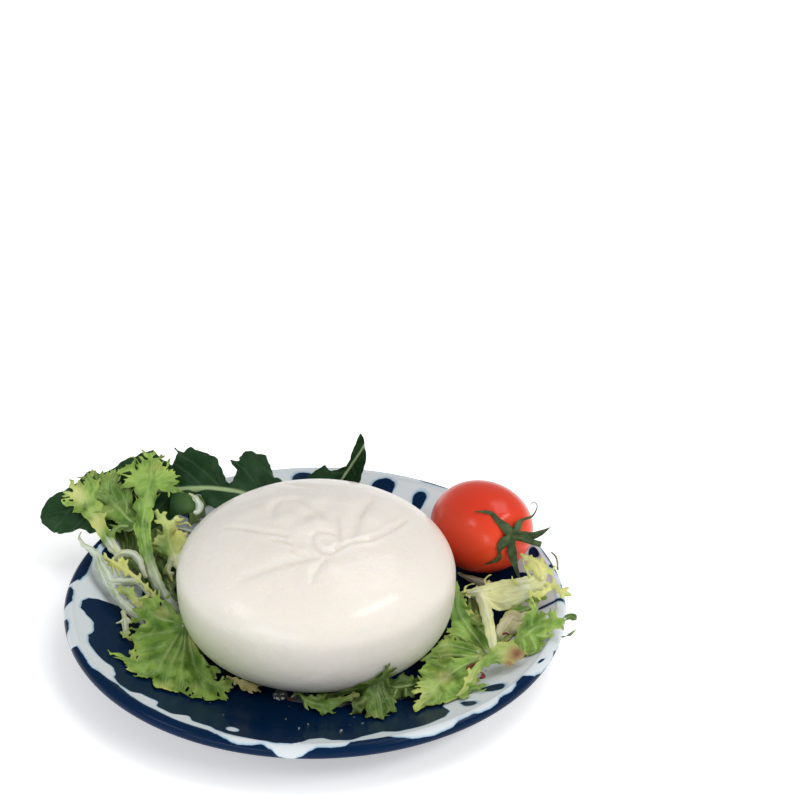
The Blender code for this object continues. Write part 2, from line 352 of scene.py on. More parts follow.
# The white band's inner edge, as direction in degrees and distance from the middle in millimetres, going
# round from the diner's left. Between the points it runs smoothly.
WHITE_INNER = (
    (150, 74), (156, 72), (162, 70), (168, 69), (173, 69), (176.3, 70), (176.8, 76), (177.2, 83), (178.5, 86.5),
    (181, 88.4), (183.5, 88.6), (185.2, 86.8), (188.5, 84), (192, 84.4), (195.5, 87.2), (199, 88), (202, 87.4),
    (205.5, 86.4), (209, 84.4),
    (212, 85.4), (214.5, 88), (217, 88.6), (221, 88), (223, 84.5), (227, 83), (230, 87), (234, 87), (237, 83),
    (240, 86), (244, 86), (247, 88), (250, 89.4), (254, 89.8), (258, 91), (261, 92), (264.5, 92), (266.5, 89),
    (268.5, 84.7), (271, 83.3), (274, 87), (277.5, 88.6), (281.5, 85), (285.5, 83.4), (289.5, 87.4), (295, 88.2),
    (301, 87), (304, 84), (306.5, 76), (310, 70), (316, 67), (324, 66), (332, 65), (340, 66), (346, 68),
    (352, 72), (358, 75), (3, 79), (7, 84), (10, 86), (12.5, 84), (15, 81), (18, 82), (20.5, 85), (24, 83), (29, 77), (36, 72), (44, 67), (52, 68), (60, 67),
    (70, 68), (80, 67), (92, 69), (104, 70), (115, 70), (126, 72), (136, 74), (145, 73),
)
# Blue drops in the white: direction, distance, half length outward, half width, and lean in degrees.
BLUE_DROPS = (
    (70.8, 85.0, 5.2, 4.6, 12), (59.5, 83.2, 4.8, 2.6, 12), (93, 86, 4.4, 4.6, -5), (105, 85, 4.6, 3.2, 0),
    (117, 86, 4.8, 3.6, -8), (129, 85, 4.2, 3.0, 6), (46, 86, 4.6, 3.4, -6), (33, 84, 4.4, 2.8, 8),
    (18.2, 89.9, 1.8, 3.4, 0), (10.6, 93.3, 1.2, 1.6, 0), (143, 87, 3.8, 2.8, 0), (355.9, 89.4, 6.6, 0.9, 14),
    (350, 95.6, 0.9, 1.8, 0), (337, 96.2, 0.8, 1.6, 0), (331.3, 93.2, 0.45, 2.3, -12), (318.3, 84.5, 4.8, 2.8, 15),
    (309.6, 84.6, 3.6, 2.0, 0), (157.8, 86.8, 2.7, 3.6, 0),
)
WHITE_DASH = (249.2, 82.8, 2.6, 2.6)  # a stray stroke of white: direction, distance and half sizes
# Where the white stops short of the lip's outside: direction and how far over the lip it runs, in millimetres
# from the crest.
WHITE_OUTER = (
    (0, 3.6), (2.5, 2.0), (5, 3.2), (9, 1.6), (16, 1.0), (24, 2.4), (34, 0.8), (44, 1.6), (53, 1.4),
    (55.5, 0.3), (61, 0.2), (63.5, 1.3), (70, 1.0), (76, 1.4), (84, 0.8), (88, 1.2), (96, 1.4), (104, 1.0), (112, 1.4), (124, 1.1), (136, 1.4),
    (146, 0.6), (152, -0.6), (158, -0.4), (161, -0.6), (164, -2.0), (169, -2.4), (172.5, -1.3), (174, 0.4), (175.2, 4.2),
    (176.2, 1.0), (178, -0.4), (182, -0.3), (183.5, 1.2), (184.5, 4.2), (188, 4.4), (189, 1.8), (191, 1.3),
    (193, 1.8), (194.5, 4.2), (199, 4.6), (200.5, 1.0), (205, 0.6), (208.5, 1.0), (213, -0.5), (218, -2.4),
    (225, -1.6), (232, -1.8), (238, -1.0), (244, -1.2), (248, 0.2), (250, 1.1), (252, 2.4), (255, 2.3), (258.5, 1.3),
    (260.2, 2.6), (262.3, 5.6), (264.5, 7.4), (266.5, 5.0), (268.6, 2.6), (270.3, 1.4), (274, 1.6), (276, 1.3),
    (277.5, -0.3), (281.5, -1.6), (285, -0.8), (288, 1.1), (291, 2.7), (296, 3.4), (299.5, 3.0), (302.5, 1.3),
    (305, 1.5), (310, 2.5), (312.5, 2.3), (314.5, 1.0), (318, 1.5), (320, 1.0), (321.5, -0.3), (324, -0.2),
    (325, 1.4), (326.5, 3.1), (329.5, 4.4), (333, 5.2), (338, 4.6), (343, 5.2), (348, 4.4), (352, 5.0), (356, 3.4),
)


def around(table, degrees):
    """The value at these directions on a smooth closed course through (direction, value) pairs."""
    table = np.array(sorted(table))
    turns = np.concatenate([table[:, 0] - 360, table[:, 0], table[:, 0] + 360])
    values = np.tile(table[:, 1], 3)
    i = np.searchsorted(turns, degrees, side="right") - 1
    share = (degrees - turns[i]) / (turns[i + 1] - turns[i])
    return values[i] + (values[i + 1] - values[i]) * (3 * share**2 - 2 * share**3)


def white_reach(points):
    """How far inside the white glaze each point of the plate is, in metres; below zero in the blue."""
    radius = np.hypot(points[:, 0], points[:, 1])
    degrees = np.degrees(np.arctan2(points[:, 1], points[:, 0])) % 360
    turn = np.arctan2(points[:, 2] - LIP_CENTRE[1], radius - LIP_CENTRE[0])
    over = np.where(radius > LIP_CENTRE[0] - 0.0005, (math.pi / 2 - turn) * LIP, radius - LIP_CENTRE[0])
    outward = over * 1000 + LIP_CENTRE[0] * 1000
    inner = outward - around(WHITE_INNER, degrees)
    outer = LIP_CENTRE[0] * 1000 + around(WHITE_OUTER, degrees) - outward
    reach = np.minimum(inner, outer)
    for direction, distance, half_length, half_width, lean in BLUE_DROPS:
        turn = (degrees - direction + 180) % 360 - 180
        aside = np.radians(turn) * distance
        out = outward - distance
        tilt = math.radians(lean)
        along = out * math.cos(tilt) + aside * math.sin(tilt)
        across = aside * math.cos(tilt) - out * math.sin(tilt)
        taper = half_width * (1 + 0.35 * np.clip(along / half_length, -1, 1))
        gap = (np.sqrt((along / half_length) ** 2 + (across / taper) ** 2) - 1) * half_width
        reach = np.minimum(reach, np.where(abs(turn) < 20, gap, 99))
    direction, distance, half_length, half_width = WHITE_DASH
    aside = np.radians((degrees - direction + 180) % 360 - 180) * distance
    out = outward - distance - aside * 0.2
    dash = (1 - np.sqrt((out / half_length) ** 2 + (aside / half_width) ** 2)) * half_length
    reach = np.maximum(reach, np.where(abs(aside) < 12, dash, -99))
    underside = (points[:, 2] < plate_top(radius) - 0.001) & (radius < LIP_CENTRE[0])
    return np.where(underside, -5.0, reach) / 1000


store(plate.data, "white", white_reach(points_of(plate.data)))
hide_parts("plate")
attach(plate, "root")

# --- Burrata ----------------------------------------------------------------------------------------
# A pouch of hot stretched curd, filled and tied shut by hand: the skin is gathered into a twisted neck
# that ends in a small knob, and pleats run out from it. The skin is moist, and light soaks into it.

burrata_low, burrata_high = (np.array(corner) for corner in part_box("burrata"))
BURRATA_MID = (burrata_low + burrata_high)[:2] / 2
BURRATA_HALF = (burrata_high - burrata_low)[:2] / 2
EQUATOR = 0.0341
CROWN = 0.0270
BELLY = 0.0313
CROWN_POWER = 2.06
BELLY_POWER = 3.06
KNOB_OFFSET = np.array([0.0046, -0.0158])

# Creases of the gathered skin: half width and depth, and their course over the crown as x and y, all in
# millimetres.
CREASES = (
    (0.8, 0.9, ((8.5, -28.2), (12.5, -25), (19.8, -22.5), (26.5, -16.5), (31, -10), (34, -4))),
    (0.8, 0.9, ((-1, -22.5), (-0.8, -26.2), (0.6, -28.9), (2.4, -30.3), (4.5, -30.6), (6.7, -29.8), (9, -27.2))),
    (0.8, 0.5, ((2.6, -21), (6.6, -21.4))),
    (1.1, 0.6, ((7.6, -9.5), (8.1, -15.9), (8.5, -21.6), (8.9, -26.4))),
    (1.7, 1.0, ((12.9, -22.2), (14.5, -17.8), (15.7, -12.2), (16.9, -6.6), (18.5, -1), (21, 4.4))),
    (0.9, 0.8, ((-33, -9), (-27.5, -12.8), (-19.4, -18.2), (-14.6, -19.9), (-10.2, -22.5))),
    (0.8, 0.6, ((-15.7, -22.5), (-12, -24.6), (-8.4, -26.3))),
    (0.8, 0.5, ((-9.5, -28.4), (-7.3, -30.7), (-4.5, -32.1))),
    (1.6, 0.7, ((-28, -38), (-19.1, -36.7), (-14.5, -35.9), (-9, -34.7), (-3, -33.4), (2, -32.6))),
    (1.3, 0.5, ((4.5, -32.9), (2, -36), (0.2, -39), (-0.9, -41.7), (-1.7, -44))),
    (1.3, 0.7, ((-15.8, -9.5), (-15.7, -4.7), (-14.8, -0.7), (-13, 2), (-6.3, 1.9), (-1.5, -5.1), (1, -8.4), (3, -13))),
    (1.6, 0.5, ((-11, 19.8), (-5.6, 15.6), (0.4, 12.4))),
    (1.4, 0.4, ((-36, 2), (-28, 1), (-20, 2))),
)
# Lumps and hollows of the neck and the skin round it: x, y, radius and height.
LUMPS = (
    (-2.3, -9.6, 3.0, -1.0), (-11, -11.5, 4.2, 0.8), (0.6, -14.2, 3.4, 0.7), (1.8, 1.2, 4.6, 0.9), (12.1, -0.6, 4.0, 0.7),
    (21, -8.5, 6.0, 0.8), (-4.5, -19, 4.6, 0.8), (3, -17.5, 4.0, 0.7), (-18, 6, 6.0, 0.6), (-24, 18, 7.0, -0.9),
    (-27, -4, 6.0, 0.6), (26, 6, 7.0, 0.5), (9, 12, 8.0, 0.5), (-14.5, -29, 4.0, 0.5), (6, -38, 4.0, 0.35),
)
KNOB = (3.7, -25.7)  # the middle of the knob
KNOB_RADIUS = 4.9
KNOB_RISE = 0.75
SINK = 0.9  # how far the skin sinks towards the knob
# Small blemishes on the skin: x, y, z, radius and depth, all in millimetres.
BLEMISHES = (
    (-39.4, -23.6, 50, 1.4, 0.4), (-46.7, -16.8, 45, 1.2, 0.3), (-12.2, -57.4, 35, 0.8, 0.25),
    (34.9, -46.1, 29, 1.6, 0.3), (-31.3, -45.2, 43, 1.0, 0.25), (32, -49, 27, 1.0, 0.25),
)


def crown_relief(x, y):
    """How far the knob, the neck and the creases raise or sink the crown at these places, in metres."""
    places = np.stack([x, y], axis=-1).reshape(-1, 2) * 1000
    reach = np.linalg.norm(places - KNOB, axis=1)
    relief = KNOB_RISE * np.exp(-((reach / KNOB_RADIUS) ** 8)) - SINK * np.exp(-((reach / 10) ** 2))
    for half_width, depth, course in CREASES:
        course = np.array(course, float)
        steps = np.linalg.norm(np.diff(course, axis=0), axis=1)
        along = np.concatenate([[0], np.cumsum(steps)])
        nearest = np.full(len(places), 99.0)
        share = np.zeros(len(places))
        for start, end, before, step in zip(course, course[1:], along, steps):
            run = np.clip((places - start) @ (end - start) / step**2, 0, 1)
            off = np.linalg.norm(places - start - run[:, None] * (end - start), axis=1)
            share = np.where(off < nearest, (before + run * step) / along[-1], share)
            nearest = np.minimum(nearest, off)
        fade = 0.35 + 0.65 * np.sin(np.pi * np.clip(share, 0, 1)) ** 0.5
        relief -= depth * fade * np.exp(-((nearest / half_width) ** 2))
        relief += 0.2 * depth * fade * np.exp(-(((nearest - 2.6 * half_width) / (1.3 * half_width)) ** 2))
    for lump_x, lump_y, radius, height in LUMPS:
        relief += height * np.exp(-((places - (lump_x, lump_y)) ** 2).sum(axis=1) / radius**2)
    return relief.reshape(np.shape(x)) / 1000


def burrata_skin(polar, azimuth):
    """The skin's points: polar runs from 0 at the knob to pi under the belly."""
    above = polar < math.pi / 2
    ring = np.abs(np.sin(polar)) ** np.where(above, 2 / CROWN_POWER, 2 / BELLY_POWER)
    shift = np.where(above, 1 - ring**2, 0)
    x = BURRATA_MID[0] + BURRATA_HALF[0] * ring * np.cos(azimuth) + KNOB_OFFSET[0] * shift
    y = BURRATA_MID[1] + BURRATA_HALF[1] * ring * np.sin(azimuth) + KNOB_OFFSET[1] * shift
    out = np.hypot((x - BURRATA_MID[0]) / BURRATA_HALF[0], (y - BURRATA_MID[1]) / BURRATA_HALF[1])
    crown = EQUATOR + CROWN * np.clip(1 - out**CROWN_POWER, 0, 1) ** (1 / CROWN_POWER)
    crown += crown_relief(x, y) * (1 - ring**6)
    belly = EQUATOR - BELLY * np.abs(np.cos(polar)) ** (2 / BELLY_POWER)
    z = np.where(above, crown, np.maximum(belly, burrata_low[2]))
    skin = np.stack([x, y, z], axis=-1)
    for *spot, radius, depth in BLEMISHES:
        dent = depth * np.exp(-(((skin * 1000 - spot) / radius) ** 2).sum(axis=-1)) / 1000
        skin[..., :2] -= dent[..., None] * (skin[..., :2] - BURRATA_MID) / 0.05
    return skin


def closed_shell(name, skin, rings, segments, crowding=1.0):
    """A closed mesh from skin(polar, azimuth), with a point at each pole. Faces point outwards."""
    polar = math.pi * (np.arange(1, rings) / rings) ** crowding
    azimuth = 2 * math.pi * np.arange(segments) / segments
    body = skin(polar[:, None] + 0 * azimuth, azimuth + 0 * polar[:, None]).reshape(-1, 3)
    poles = skin(np.array([0.0, math.pi]), np.array([0.0, 0.0]))
    points = np.concatenate([body, poles])
    i = np.arange(rings - 2)[:, None] * segments
    j = np.arange(segments)
    k = (j + 1) % segments
    quads = np.stack([i + j, i + segments + j, i + segments + k, i + k], axis=-1).reshape(-1, 4)
    last = (rings - 2) * segments
    top = [(len(body), a, b) for a, b in zip(j.tolist(), k.tolist())]
    bottom = [(last + b, last + a, len(body) + 1) for a, b in zip(j.tolist(), k.tolist())]
    mesh = bpy.data.meshes.new(name)
    mesh.from_pydata(points.tolist(), [], quads.tolist() + top + bottom)
    mesh.shade_smooth()
    return link_object(name, mesh)


def curd_material(name="moist_stretched_curd", depth=0.009):
    material, tree, shader = new_material(
        name,
        roughness=0.34,
        subsurface_weight=0.6,
        subsurface_radius=(0.9, 0.75, 0.55),
        subsurface_scale=depth,
        coat_weight=0.32,
        coat_roughness=0.15,
        ior=1.40,
    )
    cloud = noise(tree, 45.0, 3.0)
    white = mix_colours(tree, cloud, (0.79, 0.735, 0.665), (0.83, 0.78, 0.71))
    spots = add_node(tree, "ShaderNodeSeparateXYZ", {}, {0: place_on(tree)}, output=2)
    left = add_node(tree, "ShaderNodeSeparateXYZ", {}, {0: place_on(tree)}, output=0)
    # Painted shade and a painted reflection of the green leaves: the skin turns a greenish grey low down on its left
    # side and at its far left.
    leaf_reflection_and_shade = spots.ramped(0.046, 0.016) * (left.ramped(0.005, -0.042) * 0.95 + 0.05)
    leaf_reflection_and_shade = leaf_reflection_and_shade + left.ramped(-0.040, -0.058) * 0.3 + noise(tree, 30.0) * 0.3 - 0.15
    feed(tree, shader, base_color=mix_colours(tree, leaf_reflection_and_shade.clamped(), white, (0.54, 0.56, 0.38)))
    fine = noise(tree, 900.0, 4.0, 0.6)
    broad = noise(tree, 160.0, 4.0, 0.6)
    feed(tree, shader, roughness=(broad * 0.16 + fine * 0.10 + 0.28).clamped())
    feed(tree, shader, normal=bump(tree, fine * 0.5 + broad, 0.00055))
    return material


burrata = closed_shell("burrata_skin", burrata_skin, 210, 400, 1.25)
burrata.data.materials.append(curd_material())
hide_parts("burrata")
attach(burrata, "root")

# --- Rocket -----------------------------------------------------------------------------------------
# Two leaves of rocket behind the burrata: a long one laid over the rim, with a round end and torn side
# lobes, and a small one that stands up. Thin dark blades, a pale juicy midrib and a paler underside.
# Each is a flat sheet cut along its outline, laid along its midrib and given a wall.

LEAF_GRID = 0.33  # the sheets' mesh size, in millimetres


def smooth_course(points, steps=5):
    """Points on a smooth line through the given ones, with this many steps for each span."""
    points = np.array(points, float)
    ends = np.vstack([2 * points[0] - points[1], points, 2 * points[-1] - points[-2]])
    course = []
    for before, start, end, after in zip(ends, ends[1:], ends[2:], ends[3:]):
        for s in np.arange(steps) / steps:
            bend = (2 * before - 5 * start + 4 * end - after) * s**2
            turn = (3 * start - before - 3 * end + after) * s**3
            course.append(0.5 * (2 * start + (end - before) * s + bend + turn))
    return np.array(course + [points[-1]])


def taper_gap(places, start, end, start_radius, end_radius):
    """Distance from the places to a tapered strip with round ends, below zero inside."""
    way = end - start
    share = np.clip((places - start) @ way / max(way @ way, 1e-9), 0, 1)
    reach = np.linalg.norm(places - start - share[..., None] * way, axis=-1)
    return reach - start_radius - share * (end_radius - start_radius)


def rolling(places, dice, short, long):
    """Soft random waves over the places, about -1 to 1, with lengths between short and long millimetres."""
    total = np.zeros(len(places))
    for _ in range(7):
        turn = dice.uniform(0, 2 * math.pi)
        way = np.array([math.cos(turn), math.sin(turn)]) / dice.uniform(short, long)
        total += np.sin(2 * math.pi * (places @ way + dice.uniform()))
    return total / 3.0


def cut_sheet(low, high, gap, grid=LEAF_GRID):
    """A flat mesh of the places where gap is below zero: points, and faces as tuples of point numbers."""
    across, up = (np.ceil((high - low) / grid).astype(int) + 1).tolist()
    x, y = np.meshgrid(np.arange(across), np.arange(up))
    places = (low + np.stack([x, y], axis=-1) * grid).reshape(-1, 2)
    gaps = gap(places)
    # Points close to the outline move onto it, so that no thin slivers are cut.
    slope = np.stack(np.gradient(gaps.reshape(up, across), grid)[::-1], axis=-1).reshape(-1, 2)
    steep = np.maximum((slope**2).sum(axis=1), 0.3)
    near = abs(gaps) < 0.3 * grid
    places[near] -= slope[near] * (gaps[near] / steep[near])[:, None]
    gaps[near] = 0.0
    inside = gaps <= 0
    first = (y[:-1, :-1] * across + x[:-1, :-1]).ravel()
    corners = np.stack([first, first + 1, first + across + 1, first + across], axis=1)
    count = inside[corners].sum(axis=1)
    faces = corners[count == 4].tolist()
    points = places.tolist()
    cuts = {}
    for cell in corners[(count > 0) & (count < 4)].tolist():
        loop = []
        for here, ahead in zip(cell, cell[1:] + cell[:1]):
            if inside[here]:
                loop.append(here)
            if inside[here] != inside[ahead] and gaps[here] * gaps[ahead] < 0:
                key = (min(here, ahead), max(here, ahead))
                if key not in cuts:
                    share = gaps[key[0]] / (gaps[key[0]] - gaps[key[1]])
                    cuts[key] = len(points)
                    points.append((places[key[0]] * (1 - share) + places[key[1]] * share).tolist())
                loop.append(cuts[key])
        if len(loop) > 2:
            faces.append(loop)
    used = sorted({i for face in faces for i in face})
    number = {old: new for new, old in enumerate(used)}
    return np.array(points)[used], [tuple(number[i] for i in face) for face in faces]


def sheet_normals(points, faces):
    """Each point's normal, from the triangles round it."""
    fans = np.array([(face[0], a, b) for face in faces for a, b in zip(face[1:], face[2:])])
    flat = np.cross(points[fans[:, 1]] - points[fans[:, 0]], points[fans[:, 2]] - points[fans[:, 0]])
    normals = np.zeros_like(points)
    for corner in range(3):
        np.add.at(normals, fans[:, corner], flat)
    return normals / np.maximum(np.linalg.norm(normals, axis=1), 1e-9)[:, None]


def walled(name, points, faces, half_thickness, material, **marks):
    """A closed mesh from a sheet in millimetres: its two faces and the strip between them at the edge."""
    normals = sheet_normals(points, faces) * half_thickness[:, None]
    n = len(points)
    both = np.concatenate([points + normals, points - normals])
    sides = [(a, b) for face in faces for a, b in zip(face, face[1:] + face[:1])]
    inner = set(sides)
    rim = [(a, a + n, b + n, b) for a, b in sides if (b, a) not in inner]
    under = [tuple(i + n for i in reversed(face)) for face in faces]
    mesh = bpy.data.meshes.new(name)
    mesh.from_pydata((both / 1000).tolist(), [], faces + under + rim)
    mesh.shade_smooth()
    for key, values in marks.items():
        store(mesh, key, np.concatenate([values, values]) if len(values) == n else values)
    mesh.materials.append(material)
    return link_object(name, mesh)


def clear_of_dish(points, clearance):
    """Moves points, in millimetres, up off the plate and out of the burrata."""
    points = points / 1000
    out = points[:, :2] - BURRATA_MID
    rise = points[:, 2] - EQUATOR
    above = (1 - np.clip(rise / CROWN, 0, 1) ** CROWN_POWER) ** (1 / CROWN_POWER)
    below = (1 - np.clip(-rise / BELLY, 0, 1) ** BELLY_POWER) ** (1 / BELLY_POWER)
    least = np.where(rise > 0, above, below) + clearance / 1000 / BURRATA_HALF[1]
    reach = np.hypot(*(out / BURRATA_HALF).T)
    out *= np.where((reach < least) & (rise < CROWN), least / np.maximum(reach, 0.2), 1)[:, None]
    points[:, :2] = BURRATA_MID + out
    radius = np.hypot(points[:, 0], points[:, 1])
    floor = np.where(radius < PLATE_RADIUS, plate_top(radius) + clearance / 1000, 0)
    points[:, 2] = np.maximum(points[:, 2], floor)
    return points * 1000


def outline_gap(places, outline):
    """Distance from the places to a closed outline, below zero inside it."""
    outline = np.array(outline, float)
    nearest = np.full(len(places), 99.0)
    inside = np.zeros(len(places), bool)
    for start, end in zip(outline, np.roll(outline, -1, axis=0)):
        nearest = np.minimum(nearest, taper_gap(places, start, end, 0.0, 0.0))
        run = (end[0] - start[0]) / (end[1] - start[1] or 1.0)
        between = (start[1] > places[:, 1]) != (end[1] > places[:, 1])
        inside ^= between & (places[:, 0] < start[0] + (places[:, 1] - start[1]) * run)
    return np.where(inside, -nearest, nearest)


def vein_gap(places, veins):
    """Distance from the places to the nearest of these bent lines."""
    spans = [span for vein in veins for span in zip(vein, vein[1:])]
    return np.min([taper_gap(places, np.array(a), np.array(b), 0.0, 0.0) for a, b in spans], axis=0)


def rocket_material():
    material, tree, shader = new_material(
        "rocket_blade",
        roughness=0.55,
        specular_ior_level=0.08,
        subsurface_weight=0.08,
        subsurface_radius=(0.3, 0.6, 0.1),
        subsurface_scale=0.003,
    )
    rib = attribute(tree, "rib")
    vein = attribute(tree, "vein")
    under = attribute(tree, "under")
    cloud = noise(tree, 75.0, 3.0)
    cells = noise(tree, 1100.0, 3.0, 0.6)
    top = mix_colours(tree, cloud.ramped(0.3, 0.7), (0.009, 0.032, 0.010), (0.021, 0.056, 0.020))
    below = mix_colours(tree, cloud.ramped(0.3, 0.7), (0.050, 0.105, 0.026), (0.085, 0.165, 0.045))
    blade = mix_colours(tree, under, top, below)
    pale = (vein * 0.34 + cells.ramped(0.58, 0.8) * 0.06).clamped()
    netted = mix_colours(tree, pale, blade, (0.080, 0.145, 0.065))
    feed(tree, shader, base_color=mix_colours(tree, rib.ramped(0.25, 0.85), netted, (0.30, 0.40, 0.20)))
    feed(tree, shader, roughness=cells * 0.2 + 0.32)
    feed(tree, shader, normal=bump(tree, cells * 0.35 + vein * -0.5 + cloud * 0.8, 0.0003))
    return material


ROCKET = rocket_material()
# The long leaf's midrib, as x, y, z in millimetres from its round end to its stalk.
ROCKET_MIDRIB = (
    (-109, 54.5, 21.5), (-86, 53.5, 28.5), (-64, 55, 32), (-50, 54, 34), (-39, 53.5, 34), (-28, 54.5, 31),
    (-17, 56, 24), (6, 61, 9),
)
# Its outline: the place along x, and the distance across from the midrib, which is above zero outwards.
ROCKET_OUTLINE = (
    (6, 1.2), (-14, 2), (-17, 6), (-20, 9), (-23, 3.5), (-18, 8.5), (-13, 13), (-14, 14.5),
    (-15.5, 14.5), (-16.5, 13.5), (-18, 18.5), (-20, 24.5), (-23.5, 23), (-28, 21.5), (-29, 19),
    (-30.5, 15.5), (-29.5, 14.5), (-31, 14.5), (-34, 15), (-33, 12.5), (-31, 10), (-31.5, 8),
    (-33, 3.5), (-34, 2.5), (-35.5, 4.5), (-36, 6.5), (-38.5, 12), (-39, 14), (-40, 15), (-42, 15.5),
    (-43, 16.5), (-44.5, 17), (-47, 18.5), (-50, 20.5), (-52.5, 18), (-55, 19.5), (-57, 21.5),
    (-55, 18), (-56, 14.5), (-57, 12), (-57.5, 11.5), (-62, 16), (-65, 21), (-66.5, 21), (-69.5, 20),
    (-73.5, 19), (-78, 16.5), (-81, 14), (-84, 13.5), (-85.5, 12.5), (-87.5, 14), (-90.5, 15.5),
    (-92, 15), (-94, 12.5), (-95.5, 10.5), (-97.5, 10), (-102, 9), (-106, 7), (-107.5, 5), (-109, 2.5),
    (-109.5, 0), (-109, -3), (-107, -5.5), (-104.5, -7.5), (-102, -9.5), (-99.5, -9.5), (-96.5, -10),
    (-93.5, -9.5), (-91.5, -10.5), (-89.5, -12), (-86.5, -12), (-83.5, -12.5), (-77.5, -13.5),
    (-71.5, -14.5), (-66, -15), (-62.5, -14.5), (-58.5, -13), (-55, -11), (-52, -9.5), (-49.5, -7.5),
    (-48, -5.5), (-49, -4), (-47, -2.5), (-45.5, -2.5), (-44.5, -4.5), (-43, -7), (-40, -8.5),
    (-34.5, -8.5), (-30, -6), (-26, -4), (-20, -3), (6, -1.2),
)
# Side veins: where each leaves the midrib, its side and its length.
ROCKET_VEINS = (
    (-12, 1, 11), (-18, 1, 24), (-37, 1, 26), (-44, 1, 28), (-53, 1, 24), (-63, 1, 27), (-72, 1, 22), (-82, 1, 15),
    (-92, 1, 12), (-46, -1, 11), (-55, -1, 15), (-66, -1, 12), (-77, -1, 16), (-87, -1, 17), (-97, -1, 14),
)


def rocket_sheet(name, outline, veins, rib_width, lay, dice, pucker):
    """One leaf from its flat outline: lay takes flat places and heights off the sheet to millimetres."""
    corners = np.array(outline, float)

    def gap(places):
        return outline_gap(places, corners) + 0.14 * rolling(places, np.random.default_rng(9), 1.6, 4.5)

    sheet, faces = cut_sheet(corners.min(axis=0) - 1.5, corners.max(axis=0) + 1.5, gap, 0.5)
    depth = -gap(sheet)
    from_vein = vein_gap(sheet, veins)
    rib = np.exp(-((sheet[:, 1] / rib_width(sheet[:, 0])) ** 2))
    vein = np.exp(-((from_vein / 0.45) ** 2))
    height = pucker * (np.clip(from_vein / 3.5, 0, 1) ** 0.7 - 0.6) + 0.5 * pucker * rolling(sheet, dice, 5.0, 12.0)
    height += 0.45 * pucker * rolling(sheet, dice, 3.0, 6.0) * np.clip(1 - depth / 4, 0, 1)
    height *= np.clip(abs(sheet[:, 1]) / 2.0, 0, 1)
    half_thickness = 0.16 + 0.10 * np.clip(depth, 0, 1) + rib * np.clip(depth, 0, 1) * 0.55
    points = lay(sheet, height)
    under = np.repeat([0.0, 1.0], len(sheet))
    rib *= np.clip((sheet[:, 0] + 92) / 24, 0.25, 1)
    return walled(name, points, faces, half_thickness, ROCKET, rib=rib, vein=vein, under=under)


def side_veins(starts):
    veins = []
    for x, side, length in starts:
        bend = np.array([0.0, 0.3, 0.65, 1.0]) * length
        veins.append([(x - s * 0.62 - s * s * 0.006, side * s * 0.74) for s in bend.tolist()])
    return veins


def along_midrib(sheet, height):
    """Folds the sheet along the midrib: its outer half rises gently and its inner half hangs down."""
    course = smooth_course(ROCKET_MIDRIB, 12)
    y, z = (np.interp(sheet[:, 0], course[:, 0], course[:, i]) for i in (1, 2))
    across = sheet[:, 1]
    share = np.clip((across + 2.5) / 5, 0, 1)
    share *= share * (3 - 2 * share)
    share = np.clip(share, 0, 1)
    y = y + across * (0.64 + 0.27 * share)
    z = z + across * (0.77 - 0.36 * share) - 0.8 * np.exp(-((across / 1.6) ** 2))
    far = np.clip(across - 12, 0, 20)
    z = z - far**2 * 0.012
    points = np.stack([sheet[:, 0], y - 0.5 * height, z + 0.85 * height], axis=1)
    return clear_of_dish(points, 0.7)


dice = np.random.default_rng(31)
long_leaf = rocket_sheet(
    "rocket_long", ROCKET_OUTLINE, side_veins(ROCKET_VEINS), lambda x: 0.55 + 0.65 * np.clip((x + 95) / 45, 0, 1),
    along_midrib, dice, 0.9,
)
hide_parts("rocket_leaf")

# A fold of the same leaf that curls down behind the inner half, with its underside to the front: rows of
# points from its left to its right, each from the midrib down.
CURL_ROWS = (
    ((-56.5, 53.5, 32.5), (-57, 49.5, 31.5), (-57.5, 48, 28.5), (-57.5, 47, 24.5)),
    ((-53.5, 53, 32.5), (-54, 49, 31.5), (-54, 47.5, 28.5), (-55, 47, 25.5)),
    ((-50.5, 52, 32.5), (-50, 48.5, 32), (-50.5, 47, 29), (-52, 47, 26)),
    ((-49, 51.5, 31.5), (-47.5, 48, 31.5), (-47.5, 46.5, 29), (-48.5, 47, 27)),
)
rows = np.array([smooth_course(row, 8) for row in CURL_ROWS])
rows = np.array([smooth_course(rows[:, i], 10) for i in range(rows.shape[1])])
high, wide = rows.shape[:2]
first = [i * wide + j for i in range(high - 1) for j in range(wide - 1)]
cells = [(i, i + wide, i + wide + 1, i + 1) for i in first]
flat = np.zeros(high * wide)
curl = walled(
    "rocket_curl", rows.reshape(-1, 3), cells, flat + 0.22, ROCKET, rib=flat, vein=flat,
    under=np.tile(np.clip((np.arange(wide) - 3) / 22, 0, 0.85), high),
)

# The small leaf stands on edge: its outline as x and height, its midrib's middle, and its veins.
SMALL_OUTLINE = (
    (0.4, 26.9), (2.1, 28.2), (4.1, 30.1), (5.3, 29), (7, 28.6), (9, 29.6), (10.6, 30.4), (12.6, 31.3), (14.3, 34.4),
    (14.7, 36.9), (15.9, 39), (16.9, 42), (17.9, 44), (18.5, 45.1), (19.6, 43.6), (20.2, 41.1), (20.6, 37.3),
    (20.8, 34.8), (20.4, 31.4), (19.6, 28), (18.6, 24), (17, 20), (14, 17), (8, 13.5), (2, 11.5), (-2, 11),
    (-3, 12.6), (-1, 16), (-2.5, 20), (-3, 24),
)
turn = np.array([[0.54, 0.84], [-0.84, 0.54]])  # its midrib's direction, then the way across it
flat_outline = (np.array(SMALL_OUTLINE) - (6.5, 19.0)) @ turn.T


def standing(sheet, height):
    upright = sheet @ turn + (6.5, 19.0)
    depth = 70 + (upright[:, 1] - 12) * 0.2 + 0.06 * sheet[:, 1] ** 2 - height
    return clear_of_dish(np.stack([upright[:, 0], depth, upright[:, 1]], axis=1), 0.7)


